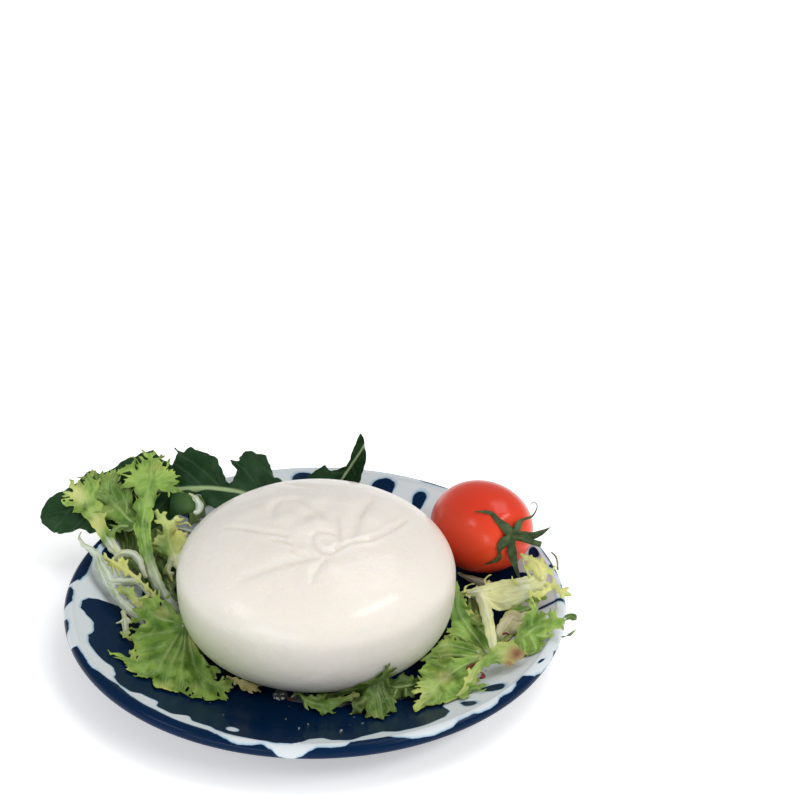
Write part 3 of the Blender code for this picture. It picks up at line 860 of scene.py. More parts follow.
small_leaf = rocket_sheet(
    "rocket_small", flat_outline, side_veins(((-4, 1, 8), (4, 1, 8), (12, 1, 6), (0, -1, 8), (8, -1, 7), (16, -1, 5))),
    lambda x: 0.5 + 0 * x, standing, dice, 0.6,
)
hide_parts("rocket_leaf_small")
for leaf in (long_leaf, curl, small_leaf):
    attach(leaf, "root")

# --- Frisee -----------------------------------------------------------------------------------------
# Curly endive: each leaf is a juicy pale stalk that forks into ribs, with a thin ruffled blade along
# them that ends in spiky teeth. The leaves lie in bunches round the burrata, pale at the root, yellow
# in the heart and green outside. Each leaf is a sheet cut along its ribs, then bent and given a wall.

WEB = 0.6  # how far the blade fills the forks between ribs
# The leaves lie leaning back: the two ways along their sheet, and the way it faces.
LEANING = np.array(((1.0, 0.0, 0.0), (0.0, 0.577, 0.817), (0.0, -0.817, 0.577)))


def joined(first, second, web):
    """The smaller of two distances, with the corner between them filled over this width."""
    return np.minimum(first, second) - np.maximum(web - abs(first - second), 0) ** 2 / (4 * web)


def teeth_along(course, length, spacing, dice):
    """Spiky teeth along both edges of a rib's blade, as tapered strips. course rows are x, y, half width."""
    teeth = []
    steps = np.linalg.norm(np.diff(course[:, :2], axis=0), axis=1)
    along = np.concatenate([[0], np.cumsum(steps)])
    for side in (-1, 1):
        place = spacing * dice.uniform(0.6, 1.2)
        while place < along[-1] - 0.5:
            x, y, half = (np.interp(place, along, course[:, i]) for i in range(3))
            i = min(np.searchsorted(along, place), len(steps)) - 1
            ahead = (course[i + 1, :2] - course[i, :2]) / max(steps[i], 1e-6)
            aside = np.array([-ahead[1], ahead[0]]) * side
            place += spacing * dice.uniform(0.8, 1.9)
            lean, size = dice.uniform(0.5, 1.1), length * dice.uniform(0.5, 1.7)
            if half < 0.45:
                continue
            root = np.array([x, y]) + aside * half * 0.6
            bend = aside * math.cos(lean * 0.7) + ahead * math.sin(lean * 0.7)
            middle = root + bend * (half * 0.4 + size * 0.5)
            tip = middle + (aside * math.cos(lean * 1.4) + ahead * math.sin(lean * 1.4)) * size * 0.6
            teeth.append((root, middle, min(1.3, 0.2 * size + 0.45), 0.55))
            teeth.append((middle, tip, 0.55, 0.05))
            if size > length * 0.9:
                barb = middle + (ahead * 0.9 + aside * 0.25) * size * 0.42
                teeth.append((middle - (tip - middle) * 0.1, barb, 0.40, 0.06))
    return teeth


def frisee_leaf(
    name, ribs, seed, pale=6, bare=4, tooth=4.0, spacing=3.2, ruffle=1.6, plump=0.8,
    yellow=0.1, shade=0.0, rusty=0.0, blush=(),
):
    """One leaf along its ribs, whose points are x, y, z and half width of the blade, in millimetres.

    The first rib starts at the root. pale is how far from it the stalk stays white and bare how far it
    has no teeth, tooth and spacing are its teeth's, ruffle is how high its edge waves, and plump is how
    much thicker the stalk is. yellow and rusty tint the blade, shade is painted shade that darkens it
    towards the olive of a leaf in shadow, and blush lists rusty spots, as x, y, z, radius and strength."""
    dice = np.random.default_rng(seed)
    courses = [smooth_course(rib) for rib in ribs]
    spine = np.concatenate(courses)
    middle = spine[:, :3].mean(axis=0)
    axes = LEANING
    flat = [np.column_stack([(c[:, :3] - middle) @ axes[:2].T, np.maximum(c[:, 3], 0.08)]) for c in courses]
    heights = (spine[:, :3] - middle) @ axes[2]
    blades = [[(a[:2], b[:2], a[2], b[2]) for a, b in zip(course, course[1:])] for course in flat]
    strips = [strip for blade in blades for strip in blade]
    teeth = [strip for course in flat for strip in teeth_along(course, tooth, spacing, dice)]
    teeth = [strip for strip in teeth if np.linalg.norm(strip[0] - flat[0][0, :2]) > bare]

    def gap(places):
        # The outline wanders a little.
        wander = rolling(places, np.random.default_rng(seed), 2.0, 5.0) * 0.18
        total = np.full(len(places), 99.0)
        for web, group in [(WEB, blade) for blade in blades] + [(0.3, teeth)] * bool(teeth):
            nearest = np.min([taper_gap(places, *strip) for strip in group], axis=0)
            total = joined(total, nearest, web)
        return total + wander

    ends = np.concatenate([course[:, :2] for course in flat] + [tip[None] for _, tip, _, _ in teeth])
    margin = max(course[:, 2].max() for course in flat) + 1.5
    sheet, faces = cut_sheet(ends.min(axis=0) - margin, ends.max(axis=0) + margin, gap)
    depth = -gap(sheet)
    dots = np.concatenate([course[:, :2] for course in flat])
    away = np.linalg.norm(sheet[:, None] - dots, axis=2)
    pull = 1 / (away**2 + 2.0) ** 2
    lift = pull @ heights / pull.sum(axis=1)
    from_rib = np.min([taper_gap(sheet, a, b, 0.0, 0.0) for a, b, _, _ in strips], axis=0)
    broad = pull @ np.concatenate([course[:, 2] for course in flat]) / pull.sum(axis=1)
    root = np.linalg.norm(sheet - flat[0][0, :2], axis=1)
    loose = np.clip(from_rib / 2.8, 0, 1) ** 1.2 * np.clip((root - 0.75 * bare) / 8, 0, 1)
    wave = loose * rolling(sheet, dice, 4.5, 10.0)
    lift -= 0.15 * np.minimum(from_rib, 6)
    lift += ruffle * wave + 0.15 * rolling(sheet, dice, 3.0, 7.0)
    sway = np.stack([rolling(sheet, dice, 4.0, 9.0), rolling(sheet, dice, 4.0, 9.0)], axis=1)
    bent = sheet + sway * (0.5 * ruffle * loose)[:, None]
    points = middle + bent @ axes[:2] + lift[:, None] * axes[2]
    stalk = np.clip(1 - (root - pale * 0.4) / max(pale * 0.6, 1), 0, 1)
    stalk *= np.clip(1.4 - from_rib / 3.0, 0, 1)
    rib = np.exp(-((from_rib / (0.18 + 0.07 * broad)) ** 2))
    inward = np.clip(depth / 1.6, 0, 1)
    half_thickness = 0.09 + 0.11 * np.clip(depth / 0.7, 0, 1) + rib * inward * 0.2
    half_thickness += stalk * np.sqrt(np.clip(depth / 2.0, 0, 1)) * plump
    points = clear_of_dish(points, 0.35 + half_thickness.max() * 0.6)
    tint = np.clip(yellow + 0.22 * rolling(sheet, dice, 8.0, 20.0), 0, 1)
    # Painted shade: on top of the leaf's shade, the valleys of the ruffle are painted darker.
    dark = np.clip(shade + 0.12 * rolling(sheet, dice, 6.0, 16.0) - 0.5 * np.minimum(wave, 0), 0, 1)
    rust = rusty + 0 * tint
    for *spot, radius, strength in blush:
        rust = np.maximum(rust, strength * np.exp(-(((points - spot) / radius) ** 2).sum(axis=1)))
    tips = np.clip(1 - depth / 1.0, 0, 1)
    marks = {"rib": rib, "stalk": stalk, "yellow": tint, "fringe": tips, "shade": dark, "rust": rust}
    marks.update(beside=from_rib, onward=root)
    return walled(name, points, faces, half_thickness, FRISEE, **marks)


def frisee_material():
    material, tree, shader = new_material(
        "frisee_blade",
        roughness=0.42,
        specular_ior_level=0.2,
        subsurface_weight=0.2,
        subsurface_radius=(0.35, 0.6, 0.12),
        subsurface_scale=0.0012,
        coat_weight=0.08,
        coat_roughness=0.25,
    )
    rib = attribute(tree, "rib")
    stalk = attribute(tree, "stalk")
    yellow = attribute(tree, "yellow")
    fringe = attribute(tree, "fringe")
    patch = noise(tree, 140.0, 3.0)
    cells = noise(tree, 900.0, 3.0, 0.6)
    # Fine streaks run along the ribs.
    weave = {"X": attribute(tree, "beside") * 1.6, "Y": attribute(tree, "onward") * 0.14, "Z": patch}
    grain = noise(tree, 1.0, 3.0, 0.6, add_node(tree, "ShaderNodeCombineXYZ", {}, weave))
    green = mix_colours(tree, patch.ramped(0.35, 0.65), (0.100, 0.215, 0.026), (0.270, 0.430, 0.080))
    heart = mix_colours(tree, patch.ramped(0.3, 0.7), (0.68, 0.65, 0.20), (0.76, 0.73, 0.34))
    blade = mix_colours(tree, yellow.ramped(0.15, 0.85), green, heart)
    blade = mix_colours(tree, fringe * (yellow * 0.6 + 0.2), blade, (0.52, 0.56, 0.12))
    # Painted shade: the shade mark darkens the blade towards the olive of a leaf in shadow.
    blade = mix_colours(tree, attribute(tree, "shade") * 0.9, blade, (0.030, 0.062, 0.012))
    light = (rib * 0.22 + grain.ramped(0.5, 0.72) * 0.4).clamped()
    veined = mix_colours(tree, light, blade, (0.46, 0.58, 0.24))
    wet = mix_colours(tree, grain.ramped(0.35, 0.65), (0.33, 0.38, 0.22), (0.60, 0.66, 0.58))
    cream = mix_colours(tree, grain.ramped(0.35, 0.65), (0.66, 0.67, 0.31), (0.77, 0.77, 0.44))
    juicy = mix_colours(tree, yellow, wet, cream)
    whole = mix_colours(tree, stalk.ramped(0.05, 0.8), veined, juicy)
    rust = attribute(tree, "rust")
    rusty = mix_colours(tree, rust**2.0, (0.52, 0.26, 0.17), (0.15, 0.016, 0.012))
    feed(tree, shader, base_color=mix_colours(tree, rust.clamped(), whole, rusty))
    streak = noise(tree, 420.0, 4.0, 0.6)
    feed(tree, shader, roughness=streak * 0.25 + 0.28)
    feed(tree, shader, normal=bump(tree, streak * 0.7 + cells * 0.3 + grain * 0.8 + rib * 0.3, 0.00025))
    return material


FRISEE = frisee_material()
# The leaves: name, the bunch that they belong to, how they differ, and their ribs. A high shade paints a leaf dark
# green as painted shade.
LEAVES = (
    ("green_branch", "frisee_left", dict(pale=34, bare=46, yellow=0.05, ruffle=1.4, tooth=3.4, spacing=2.4, plump=1.1), (
        ((-50, -1.5, 9, 1.6), (-53.5, 2, 11, 1.9), (-56.5, 6, 13, 2), (-60, 11.5, 15, 2.2),
         (-62.5, 16.5, 18, 2.4), (-65, 23, 21, 2.6), (-66.5, 30, 24, 2.8), (-67.5, 35.5, 28, 3.2),
         (-67, 41, 31, 3.2), (-66.5, 45.5, 33.5, 3), (-66, 48.5, 36.5, 3.4), (-65, 52.5, 38.5, 3.4),
         (-65, 57, 40.5, 1.9), (-65, 60.5, 42, 1.2), (-65.5, 65.5, 43.5, 0.2)),
        ((-66.5, 53.5, 39, 1.6), (-68, 58.5, 41, 0.8), (-68.5, 62.5, 42.5, 0.2)),
        ((-68.5, 54, 38.5, 2), (-71.5, 56.5, 40, 1.2), (-75.5, 61, 41, 0.2)),
        ((-70, 52, 38, 1.4), (-72.5, 53, 38, 0.7), (-75.5, 54, 38, 0.2)),
        ((-63, 54.5, 39.5, 1.6), (-61.5, 58, 41.5, 0.8), (-60, 60, 42.5, 0.2)),
        ((-62.5, 52.5, 39, 1.8), (-59.5, 54.5, 40.5, 0.9), (-58, 56, 41.5, 0.2)),
        ((-62, 52, 39, 2), (-58, 53, 40, 1), (-55.5, 54.5, 41, 0.2)),
        ((-62, 51, 38.5, 2.2), (-58, 51, 39, 1), (-55, 50.5, 39.5, 0.2)),
        ((-62.5, 50.5, 38, 2), (-58.5, 49.5, 38, 1.1), (-56.5, 48, 37, 0.7), (-55.5, 46.5, 36.5, 0.2)),
        ((-66, 50, 37, 3), (-69, 49.5, 36.5, 1.6)),
    )),
    ("dark_sheet", "frisee_left", dict(pale=0, bare=8, yellow=0.05, ruffle=1.6, tooth=2.6, shade=0.4), (
        ((-68.5, 38.5, 26, 2.2), (-73, 41.5, 27, 3.6), (-76.5, 46.5, 28, 4.6), (-80, 49.5, 30.5, 4.8),
         (-83.5, 54, 33, 4.4), (-86, 58, 34, 3), (-87.5, 61, 35.5, 1.5), (-88.5, 64, 36, 0.25)),
        ((-78, 49, 30.5, 3), (-80, 52.5, 32.5, 2.8), (-81, 57, 34.5, 2), (-80.5, 60, 36, 1.1),
         (-79.5, 63, 37.5, 0.25)),
        ((-80.5, 55.5, 34, 1.5), (-78.5, 58.5, 36, 0.25)),
        ((-83.5, 56, 34, 1.8), (-84, 58.5, 35, 0.9), (-84.5, 60.5, 35.5, 0.2)),
        ((-85, 55, 33, 2), (-87.5, 58, 34, 1.1), (-89.5, 61, 34.5, 0.6), (-91, 63.5, 35.5, 0.2)),
        ((-82.5, 51.5, 31.5, 2.6), (-86, 53, 32, 1.3), (-88.5, 54, 32, 0.25)),
        ((-80, 47, 28, 2.2), (-83.5, 46.5, 27, 1.4), (-85.5, 46, 26, 0.8), (-88.5, 45, 25, 0.25)),
        ((-74, 45.5, 28, 1.8), (-74.5, 48.5, 30.5, 1.5), (-76, 51, 32, 2), (-77, 53.5, 34, 1.3),
         (-77, 55.5, 34.5, 0.2)),
        ((-74.5, 49.5, 31, 1.5), (-74, 52.5, 33.5, 1.1), (-74, 55.5, 35, 0.2)),
        ((-73.5, 40, 25, 2.2), (-76.5, 40, 25, 1.2), (-78.5, 39, 24, 0.9), (-80.5, 36, 23, 0.4)),
    )),
    ("yellow_branch", "frisee_left", dict(pale=10, bare=16, yellow=0.3, ruffle=1.2, tooth=2.2, plump=0.9), (
        ((-76.5, 30, 18, 1.4), (-79.5, 33.5, 20, 2.2), (-83, 38.5, 23, 2.4), (-86, 44, 25.5, 2.8),
         (-89, 47.5, 29, 3.4), (-91.5, 52, 31.5, 3.2), (-93, 56, 32.5, 2), (-94, 59.5, 34, 0.3)),
        ((-92, 52, 31, 2.2), (-95, 56, 32, 1.1), (-97.5, 58.5, 32.5, 0.3)),
        ((-91.5, 50, 30, 2.2), (-94.5, 52.5, 30.5, 1.1), (-97, 55, 31, 0.7), (-100, 57, 30.5, 0.2)),
        ((-92, 49.5, 29.5, 1.6), (-95, 50, 29, 0.7), (-98, 50.5, 28.5, 0.45), (-100.5, 53, 29, 0.3),
         (-99, 53.5, 29.5, 0.35), (-96.5, 53, 30, 0.35)),
        ((-89, 50, 31, 3.2), (-87.5, 54, 33.5, 2.4), (-88.5, 57.5, 35, 1.1), (-90.5, 61, 36, 0.2)),
        ((-90.5, 54, 32.5, 2.4), (-90, 57, 34, 1.3), (-91, 60, 35, 0.2)),
    )),
    ("window_leaf", "frisee_left", dict(pale=0, bare=0, shade=0.9, tooth=1.5), (
        ((-74, 35.5, 14, 2), (-74.5, 42, 15, 4), (-76, 46, 17, 3.4), (-77.5, 49, 19, 1.2)),
    )),
    ("pale_flap", "frisee_left", dict(pale=200, bare=200, yellow=0.25, ruffle=0.2, plump=0.5), (
        ((-78, 24, 20, 0.6), (-76.5, 25.5, 21, 1.2), (-74, 25.5, 22, 1.5), (-71, 24.5, 22, 1.5),
         (-68.5, 22.5, 21, 1.5), (-67, 18.5, 20, 1.2), (-65.5, 15, 18, 0.8)),
    )),
    ("flap_under", "frisee_left", dict(pale=0, bare=0, shade=0.75, tooth=1.6, ruffle=0.8), (
        ((-75.5, 27, 19, 0.6), (-73, 26.5, 18.5, 1.1), (-70.5, 24.5, 18, 1.4), (-68.5, 21, 17, 1.5),
         (-66.5, 17.5, 15, 1.6), (-64.5, 13.5, 13, 1.2), (-62.5, 10.5, 12, 0.5)),
    )),
    ("pale_stalk", "frisee_left", dict(pale=200, bare=200, yellow=0, ruffle=0.2, plump=0.8), (
        ((-91, 33, 27, 0.3), (-91.5, 29.5, 26.5, 0.5), (-89.5, 25, 26, 0.9), (-86.5, 23, 25, 1.3),
         (-84, 20.5, 24, 1.7), (-82.5, 16, 23, 2.2), (-80.5, 12, 21.5, 2.4), (-79, 9, 19.5, 2.2),
         (-77, 5, 17.5, 1.6), (-74.5, 2, 15.5, 1.6), (-71.5, -0.5, 14, 1.8), (-69, -2.5, 12.5, 1.8),
         (-66.5, -4.5, 11.5, 1.6), (-64.5, -6.5, 10.5, 1)),
        ((-79, 8.5, 19, 1.4), (-76, 10.5, 18.5, 1.6), (-72, 11, 18, 1.6), (-69, 11, 18, 1.4),
         (-67, 10, 17, 0.9), (-63.5, 6.5, 15.5, 0.9), (-60.5, 4, 14, 0.7)),
    )),
    ("lacy_rib", "frisee_left", dict(pale=0, bare=0, yellow=0.9, tooth=1.3, ruffle=0.3), (
        ((-60, 3, 14.5, 0.5), (-63, 6.5, 17, 0.6), (-67, 10, 19, 0.6), (-70, 13, 20, 0.7),
         (-72.5, 14, 21, 1), (-75.5, 16, 22, 1), (-78, 17.5, 23, 0.9), (-80.5, 19.5, 23, 0.6),
         (-83, 20.5, 24, 0.2)),
        ((-72.5, 13.5, 22, 0.6), (-73.5, 17, 23, 0.6), (-74.5, 21, 23, 0.2)),
        ((-76, 17.5, 22, 0.6), (-75, 19, 23, 0.2)),
        ((-77, 18, 21, 0.5), (-76, 15, 20, 0.4), (-75, 13, 19, 0.2)),
        ((-78.5, 18.5, 22, 0.4), (-78, 15.5, 21, 0.25), (-77.5, 13, 20, 0.2)),
    )),
    ("lacy_leaf", "frisee_left", dict(pale=0, bare=0, yellow=0.4, tooth=1.2, ruffle=0.6), (
        ((-65, -0.5, 13, 1.2), (-67, 1.5, 14.5, 0.8), (-69, 3, 16, 1), (-71, 5, 17, 1.8),
         (-73, 6, 17.5, 1.4), (-75, 5.5, 18, 0.9), (-76, 6, 18, 0.3)),
        ((-70.5, 4, 16.5, 0.9), (-68.5, 2.5, 15.5, 0.6), (-67.5, 0.5, 14, 0.5), (-68.5, -0.5, 13, 0.3)),
        ((-67, 2.5, 16, 0.5), (-65.5, 3, 16, 0.6), (-64, 3.5, 16, 0.7), (-63.5, 6, 16, 0.3)),
        ((-66.5, 2.5, 15.5, 0.5), (-66, 0.5, 14.5, 0.5), (-66.5, -1.5, 13.5, 0.4)),
    )),
    ("side_strip", "frisee_left", dict(pale=10, bare=0, yellow=0.25, tooth=1.2, ruffle=0.4), (
        ((-73, -0.5, 12, 0.8), (-72, -6.5, 12, 1.2), (-71.5, -12, 11.5, 1.2), (-72, -18, 11, 0.3)),
        ((-72.5, -5.5, 12, 0.7), (-74, -7, 12, 0.5), (-75, -9, 12, 0.25)),
        ((-71, -14.5, 11, 0.6), (-69, -17.5, 11, 0.5), (-67.5, -15.5, 11.5, 0.5)),
    )),
    ("heart_leaf", "frisee_left", dict(pale=6, bare=4, yellow=0.45, tooth=1.6, ruffle=1.6), (
        ((-53.5, 23.5, 17, 1.2), (-54.5, 27, 19, 3.4), (-56.5, 31, 21, 5), (-57.5, 35, 23, 4.4),
         (-57.5, 36, 26, 2.8), (-59.5, 39, 28, 1.8), (-61.5, 40, 30, 1), (-62, 42, 31, 0.4)),
        ((-60.5, 31.5, 21, 2.2), (-63, 31.5, 22, 0.7), (-66.5, 31.5, 22, 0.25)),
        ((-61, 34.5, 22, 1.3), (-62, 34.5, 23, 0.4)),
        ((-60.5, 29, 20, 1.5), (-62.5, 31, 20, 0.5), (-64, 32, 20, 0.2)),
        ((-53, 30, 21, 3.2), (-50.5, 33, 22, 1.6), (-49, 35.5, 22, 0.5)),
        ((-52, 34.5, 22, 1.8), (-50, 33.5, 22, 0.6)),
        ((-56, 38, 27, 1.2), (-55, 40, 28, 0.6), (-54, 42.5, 28, 0.2)),
        ((-55, 42, 25, 0.6), (-53, 42, 24.5, 0.35), (-50.5, 42, 25, 0.35), (-49, 41, 24, 0.3)),
        ((-54, 27.5, 17, 1), (-56.5, 26.5, 16, 1.2), (-57.5, 23.5, 15, 1.2), (-56.5, 22, 13, 0.7),
         (-55.5, 20, 12, 0.3)),
    )),
    ("white_strand", "frisee_left", dict(pale=200, bare=200, ruffle=0.2, plump=0.4), (
        ((-56.5, 43, 22, 0.5), (-53.5, 44, 21, 0.8), (-50.5, 44, 20, 1), (-47.5, 44, 19, 0.7)),
    )),
    ("under_leaf", "frisee_left", dict(pale=0, bare=0, shade=0.85, tooth=1.6), (
        ((-53.5, 10, 8.5, 0.8), (-56, 16, 10, 1.2), (-57.5, 21, 12, 3), (-59.5, 26, 14, 3.4),
         (-60.5, 28.5, 16, 1.8), (-61.5, 32, 17, 0.4)),
        ((-57.5, 22.5, 11, 2.4), (-55.5, 25.5, 12, 2.4), (-54, 28, 13, 1)),
    )),
    ("sprig_behind", "frisee_left", dict(pale=0, bare=0, shade=0.6, tooth=1.8), (
        ((-50.5, 59, 10, 0.8), (-48.5, 63, 11, 1.6), (-46.5, 67.5, 12, 1.8), (-45.5, 72, 13, 1),
         (-44.5, 74.5, 14, 0.3)),
        ((-48, 63, 11, 1), (-49.5, 67, 12, 0.8), (-49, 71, 12, 0.3)),
    )),
    ("bed_left", "frisee_left", dict(pale=0, bare=0, shade=0.8, tooth=2.0, ruffle=1.6), (
        ((-53, 8.5, 7.5, 1), (-57, 15.5, 8.5, 3), (-62, 22, 9.5, 4.2), (-65.5, 30, 11, 4.4),
         (-69, 37.5, 12.5, 3.6), (-71, 43.5, 15, 1.5)),
        ((-63, 25, 9.5, 3), (-67.5, 26.5, 10, 3.2), (-72, 28.5, 11.5, 2.2), (-75, 30, 13, 0.8)),
        ((-66.5, 32, 11.5, 2.5), (-64.5, 37.5, 12.5, 2.5), (-63, 42.5, 14, 1.2)),
    )),
    ("bed_back", "frisee_left", dict(pale=0, bare=0, shade=0.55, tooth=2.4, ruffle=1.8), (
        ((-54.5, 29.5, 11, 1.2), (-59, 36.5, 13, 3.4), (-63, 42.5, 16, 4.4), (-67, 46.5, 19, 4.4),
         (-71.5, 50.5, 22, 3.2), (-74.5, 53.5, 25, 1.2)),
        ((-65.5, 45, 18, 3.2), (-63.5, 49.5, 20, 3), (-62, 53.5, 22, 1.4)),
    )),
    ("bed_right", "frisee_right", dict(pale=0, bare=0, yellow=0.2, shade=0.3, tooth=2.0, ruffle=1.6), (
        ((67, -26, 9, 1.5), (70.5, -19, 9.5, 3.2), (74, -13.5, 10.5, 3.8), (77.5, -9, 12.5, 3),
         (80, -5.5, 15, 1.2)),
        ((72, -17.5, 10, 2.8), (76, -18, 11, 3), (79.5, -18.5, 13, 1.8)),
    )),
    ("cut_stalk", "frisee_left", dict(pale=30, bare=200, yellow=0.1, ruffle=0.1, plump=0.5), (
        ((-49.5, 48.5, 34.5, 0.4), (-47.5, 47.5, 33.5, 0.9), (-46, 46, 32, 1.3),
         (-45.5, 45, 30.5, 1.4), (-46, 43.5, 29, 1.1), (-47.5, 43.5, 29, 0.5)),
    )),
    ("tip_behind", "frisee_left", dict(pale=2, yellow=0.2), (
        ((-37, 69.5, 14, 0.8), (-39, 71, 15, 1.2), (-41, 71, 17, 0.9), (-42, 72, 18, 0.3)),
    )),
    ("fan", "frisee_fan", dict(pale=0, bare=12, yellow=0.12, shade=-0.15, ruffle=1.9, tooth=3.2, spacing=2.2), (
        ((-49.5, -14.5, 15, 1), (-52, -24.5, 16, 3), (-55, -32.5, 15, 4.2), (-57.5, -38.5, 13.5, 4.2),
         (-60.5, -41.5, 12, 2), (-63.5, -42, 11.5, 1), (-67.5, -43, 11, 0.3)),
        ((-49.5, -15.5, 15, 1.4), (-50, -26.5, 15, 3.4), (-52.5, -35, 13.5, 4.4),
         (-54.5, -41, 11.5, 4), (-55, -46, 10, 2), (-55, -49, 9.5, 0.4)),
        ((-48.5, -17, 15, 1.4), (-48.5, -27, 14.5, 3.4), (-49, -35.5, 13, 4.2), (-49.5, -42, 10.5, 4),
         (-50, -46.5, 9, 1.6), (-51, -49, 8, 0.3)),
        ((-47.5, -17.5, 14, 1.3), (-46, -27, 13, 2.6), (-44.5, -34, 11, 3.4), (-42.5, -40.5, 9, 3.4),
         (-40, -45, 8, 2), (-38, -50.5, 7, 0.25)),
        ((-45.5, -32, 10.5, 2.2), (-41.5, -37.5, 9, 2.6), (-36.5, -41.5, 7.5, 2.1),
         (-33, -42.5, 7, 1.1), (-30.5, -42, 7, 0.25)),
        ((-39, -40, 8, 1.6), (-35, -44, 7, 0.9), (-33.5, -46.5, 7, 0.5), (-32, -49, 7, 0.2)),
        ((-44, -41.5, 8.5, 2.2), (-43.5, -46, 8, 1.3), (-42.5, -49.5, 7.5, 0.3)),
        ((-49.5, -14.5, 15, 1.2), (-53, -14.5, 17, 3.2), (-57.5, -14, 18, 4.2),
         (-61.5, -10, 17.5, 3.8), (-64, -4.5, 16.5, 1.8), (-65.5, -2.5, 16, 0.5)),
        ((-55.5, -8.5, 17.5, 2.6), (-57, -3, 17, 1.2), (-58.5, -0.5, 17, 0.3)),
        ((-60.5, -4, 17, 1.8), (-61.5, 0, 17, 0.6), (-62, 1.5, 17, 0.25)),
        ((-51.5, -15.5, 14, 3), (-56, -14.5, 12.5, 4.6), (-60.5, -14.5, 11.5, 4.8),
         (-64, -16, 11.5, 3.4), (-66.5, -18.5, 11.5, 1.4), (-68, -18, 11.5, 0.5)),
        ((-55.5, -24, 13, 4.6), (-60, -23.5, 11.5, 4.8), (-63, -24, 11, 3), (-65, -24.5, 10.5, 1.3)),
        ((-57.5, -32.5, 12.5, 4.2), (-61.5, -32.5, 11, 4), (-64.5, -34.5, 10.5, 3),
         (-66.5, -36.5, 10, 2.2), (-68, -38, 10, 0.8), (-69.5, -38, 10, 0.3)),
        ((-65.5, -34.5, 10.5, 2), (-67, -31, 11, 1.5), (-67.5, -28, 12, 1.1), (-67.5, -26, 12.5, 0.3)),
        ((-67, -34.5, 10.5, 1.5), (-68.5, -32.5, 11, 1), (-70.5, -31.5, 11.5, 0.8),
         (-71.5, -32.5, 11.5, 0.35)),
        ((-65, -38.5, 10, 0.9), (-64, -42.5, 9, 0.25)),
        ((-63, -39.5, 10.5, 0.8), (-61.5, -43.5, 9, 0.25)),
    )),
    ("fan_lobe", "frisee_fan", dict(pale=3, shade=0.6, tooth=1.6), (
        ((-48.5, -12.5, 13, 1), (-46, -18, 12.5, 1.6), (-43.5, -21.5, 11.5, 2.2),
         (-43.5, -24.5, 10.5, 1.4), (-43.5, -28, 10, 0.4)),
    )),
    ("front_leaf", "frisee_front", dict(pale=0, bare=6, shade=0.7, ruffle=1.6, tooth=2.2), (
        ((1.5, -49.5, 8, 1), (6.5, -49, 9, 1.5), (11.5, -48, 10, 1.8), (16, -48, 12, 3),
         (19.5, -50, 15, 4.4), (22.5, -51, 18, 3.4), (23, -50, 21, 1.2), (23, -48.5, 23, 1.1),
         (23, -47, 24, 0.4)),
        ((16.5, -48, 13, 3), (13.5, -47.5, 14, 2.6), (11, -48.5, 14, 1.1), (10, -51, 13, 0.3)),
        ((17.5, -48, 14, 3), (16.5, -46.5, 16, 2.2), (15, -46.5, 17, 0.8)),
        ((20, -50, 17, 2.2), (21, -48, 18, 0.6)),
        ((22, -51, 16, 3), (25, -49, 16, 1.5), (26.5, -47.5, 17, 0.7), (28, -47.5, 18, 0.25)),
        ((21, -50.5, 14, 4.2), (21, -52, 11, 4.4), (22, -54.5, 9, 3.6), (22.5, -59, 8.5, 2.2),
         (23, -63.5, 8, 1.1), (23.5, -67, 8, 0.3)),
        ((23.5, -49.5, 13, 2.8), (24.5, -51.5, 10.5, 2), (26, -54.5, 9, 1.8), (27, -58, 8.5, 0.8),
         (27, -59.5, 8.5, 0.3)),
        ((24.5, -53.5, 9, 2), (26.5, -52, 9, 1.2), (28.5, -54.5, 8.5, 0.4)),
        ((18.5, -52, 9, 3), (16.5, -54, 8.5, 2.2), (14, -55, 8, 1.3), (15.5, -58.5, 8, 0.4)),
        ((19.5, -55.5, 9, 2.4), (19, -59, 8.5, 1.2), (20.5, -62, 8, 0.4)),
    )),
    ("front_stalk", "frisee_front", dict(pale=0, bare=4, shade=0.35, ruffle=1.0, tooth=1.4), (
        ((-9, -50.5, 8.5, 0.3), (-6.5, -49, 9, 0.5), (-4.5, -51.5, 8.5, 0.8), (-1.5, -53.5, 8, 1.6),
         (1.5, -54.5, 8, 2), (4, -55.5, 8, 2), (6.5, -54.5, 8.5, 1.4), (7, -52, 8.5, 0.5)),
        ((-4, -52, 8.5, 0.6), (-4, -55, 8, 0.5), (-3, -57.5, 8, 0.25)),
        ((-2, -50.5, 9, 0.5), (0, -51.5, 8.5, 0.6), (1.5, -50.5, 8.5, 0.6)),
        ((2, -56, 8, 1.4), (3, -58.5, 7.5, 0.7), (0.5, -57, 7.5, 0.3)),
        ((5, -54, 8.5, 1.2), (8.5, -53, 8.5, 0.9), (12, -51.5, 8.5, 1), (15, -50.5, 9, 1)),
    )),
    ("heart_scrap", "frisee_front", dict(pale=0, bare=1, yellow=1, tooth=1.2, ruffle=0.9, rusty=0.35), (
        ((-32.5, -38.5, 9, 0.5), (-30, -40.5, 9, 0.8), (-27.5, -42, 9, 1.1), (-25, -43.5, 9, 1.4),
         (-22.5, -45, 8.5, 1.1), (-22, -46.5, 8, 0.4)),
        ((-26.5, -42, 9.5, 1), (-24, -42, 10.5, 0.8), (-22, -43, 11, 0.7), (-20.5, -44, 11, 0.3)),
        ((-23.5, -43.5, 9.5, 0.8), (-21, -44, 9.5, 0.5), (-19.5, -43.5, 9.5, 0.25)),
    )),
    ("front_under", "frisee_front", dict(pale=0, bare=0, shade=0.7, tooth=1.4), (
        ((24.5, -44.5, 9.5, 2), (28.5, -46, 9, 3.2), (32, -45.5, 9, 3.6), (35.5, -44.5, 9, 2.6),
         (38, -42, 9, 0.8)),
        ((29, -47, 8.5, 1.8), (28, -50, 8, 0.5)),
        ((32.5, -47, 8.5, 1.8), (32.5, -50, 8, 0.4)),
    )),
    ("ribbon", "frisee_right", dict(pale=200, bare=200, yellow=0.85, plump=0.15, ruffle=0.3), (
        ((56, 1.5, 18, 0.8), (59.5, 0, 19, 1.5), (63, -0.5, 20, 1.9), (68, 0, 21, 2.2),
